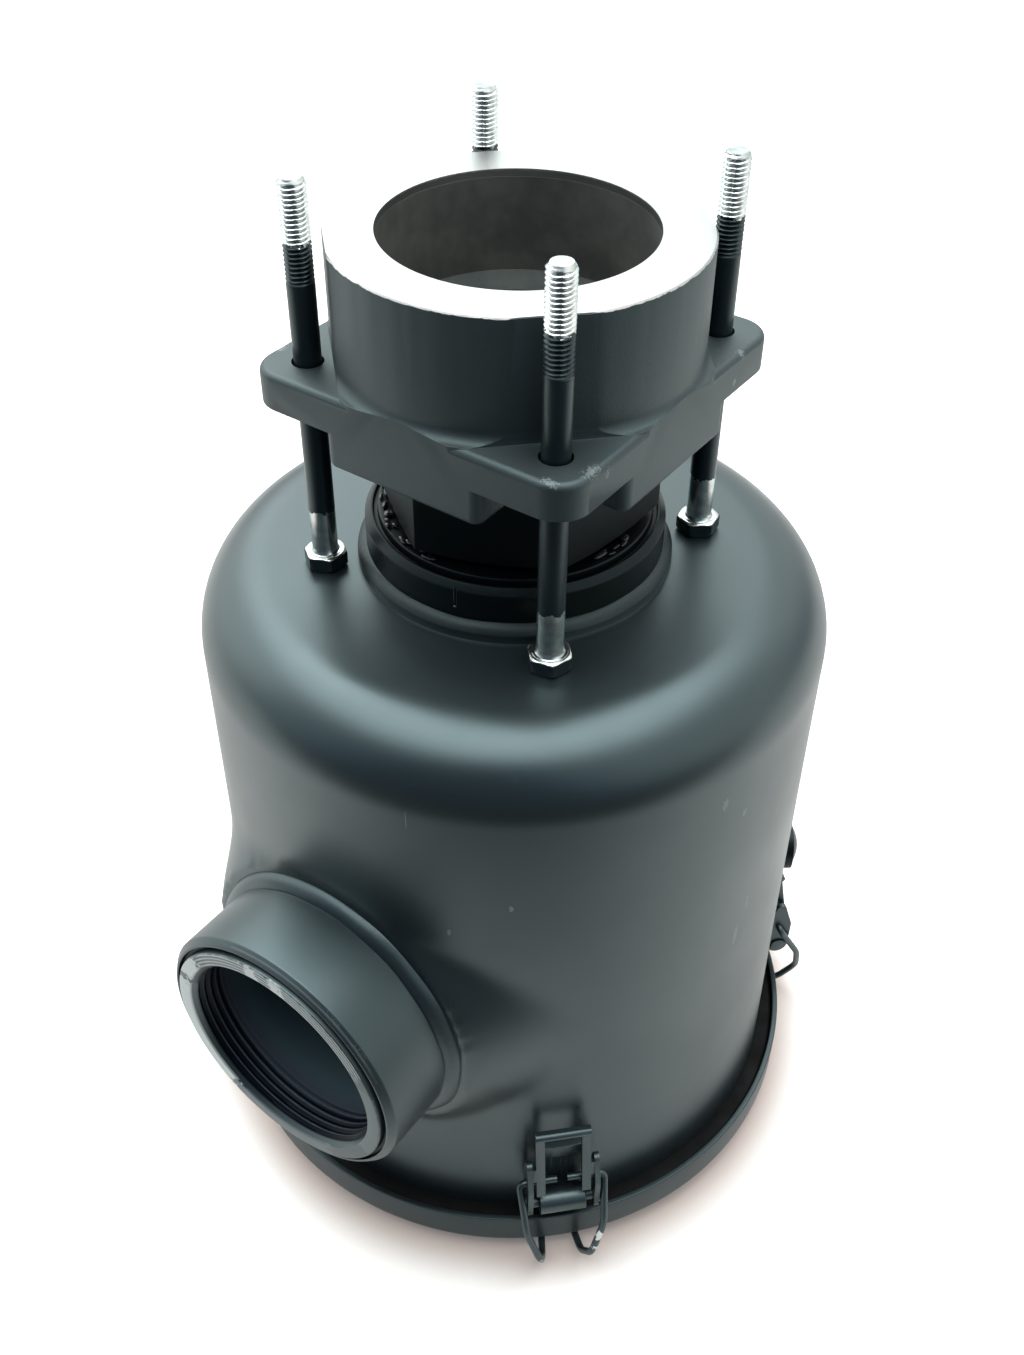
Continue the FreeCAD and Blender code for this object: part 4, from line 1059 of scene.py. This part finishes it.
def makeFloor():
    # plain pale floor that keeps the shadow; light that bounces off it is dimmer than what the camera sees
    t = studio
    side = t["floorHalf"]
    material, sheet = newMaterial("floorSheet")
    corners = np.array([(-side, -side, 0), (side, -side, 0), (side, side, 0), (-side, side, 0)])
    floor = meshPiece("floor", corners, np.array([(0, 1, 2, 3)]), material, closed=False)
    rays = sheet.add("ShaderNodeLightPath")
    along = sheet.vector("DOT_PRODUCT", sheet.place(), t["front"])
    bounce = sheet.layers(sheet.mixColour(sheet.between(along, t["frontFrom"], t["frontTo"]), t["bounceBack"],
                                          t["bounceFront"]),
                          (sheet.between(along, t["frontTo"], t["farTo"]), t["bounceFar"]))
    # painted contact shadow: the floor the camera sees is painted brown where ambient occlusion finds the rim
    # close by
    near = sheet.add("ShaderNodeAmbientOcclusion", Distance=t["shadeReach"])
    seen = sheet.mixColour(sheet.between(near.outputs["AO"], 0.5, 0.95), t["floorShade"], t["floorTint"])
    sheet.surface(sheet.mixColour(rays.outputs["Is Camera Ray"], bounce, seen), 0.9)
    glow = sheet.add("ShaderNodeEmission", Strength=1.0)
    share = sheet.times(rays.outputs["Is Camera Ray"], t["floorGlow"])
    mixed = sheet.add("ShaderNodeMixShader", Fac=share, i1=sheet.shader.outputs[0], i2=glow.outputs[0])
    end = next(n for n in sheet.tree.nodes if n.type == "OUTPUT_MATERIAL")
    sheet.feed(end, "Surface", mixed.outputs[0])


def skyLobe(sheet, direction, azimuth, elevation, core, edge, level):
    # soft round patch of light: full inside the core angle, fading out at the edge angle
    a, e = math.radians(azimuth), math.radians(elevation)
    toward = sheet.vector("DOT_PRODUCT", direction,
                          (math.cos(e) * math.sin(a), -math.cos(e) * math.cos(a), math.sin(e)))
    patch = sheet.between(toward, math.cos(math.radians(edge)), math.cos(math.radians(core)))
    return sheet.times(patch, level)


def makeWorld():
    # white for the camera; for light and reflections a room with a broad soft light overhead, a glow from
    # behind and nothing bright at the front
    world = bpy.data.worlds.new("studio")
    bpy.context.scene.world = world
    world.use_nodes = True
    sheet = nodeSheet(world.node_tree)
    background = next(n for n in world.node_tree.nodes if n.type == "BACKGROUND")
    direction = sheet.add("ShaderNodeTexCoord").outputs["Generated"]
    level = studio["ambient"]
    for lobe in studio["lobes"]:
        level = sheet.plus(level, skyLobe(sheet, direction, *lobe))
    seen = sheet.add("ShaderNodeLightPath").outputs["Is Camera Ray"]
    # the dim directions are bluer
    cast = sheet.mixColour(sheet.between(level, 0.1, 0.9), studio["dimTint"], studio["tint"])
    sheet.feed(background, "Color", sheet.mixColour(seen, cast, (1, 1, 1)))
    sheet.feed(background, "Strength", sheet.mixValue(seen, level, 1.0))


def makeCamera():
    # looking down at the filter, as the photograph does
    view = {"place": (0.25712, -0.36611, 0.60595), "pitch": 40.964, "heading": 35.161, "roll": 0.548,
            "lens": 38.694, "sensor": 36.0}
    data = bpy.data.cameras.new("camera")
    data.sensor_width = view["sensor"]
    data.lens = view["lens"]
    data.clip_start, data.clip_end = 0.01, 50.0
    camera = bpy.data.objects.new("camera", data)
    turn = (Matrix.Rotation(math.radians(view["heading"]), 4, "Z")
            @ Matrix.Rotation(math.radians(90 - view["pitch"]), 4, "X")
            @ Matrix.Rotation(math.radians(view["roll"]), 4, "Z"))
    camera.matrix_world = Matrix.Translation(view["place"]) @ turn
    bpy.context.scene.collection.objects.link(camera)
    bpy.context.scene.camera = camera


makeFloor()
makeWorld()
makeCamera()
bpy.context.scene.view_settings.view_transform = "Standard"
print("stage, light and camera made")
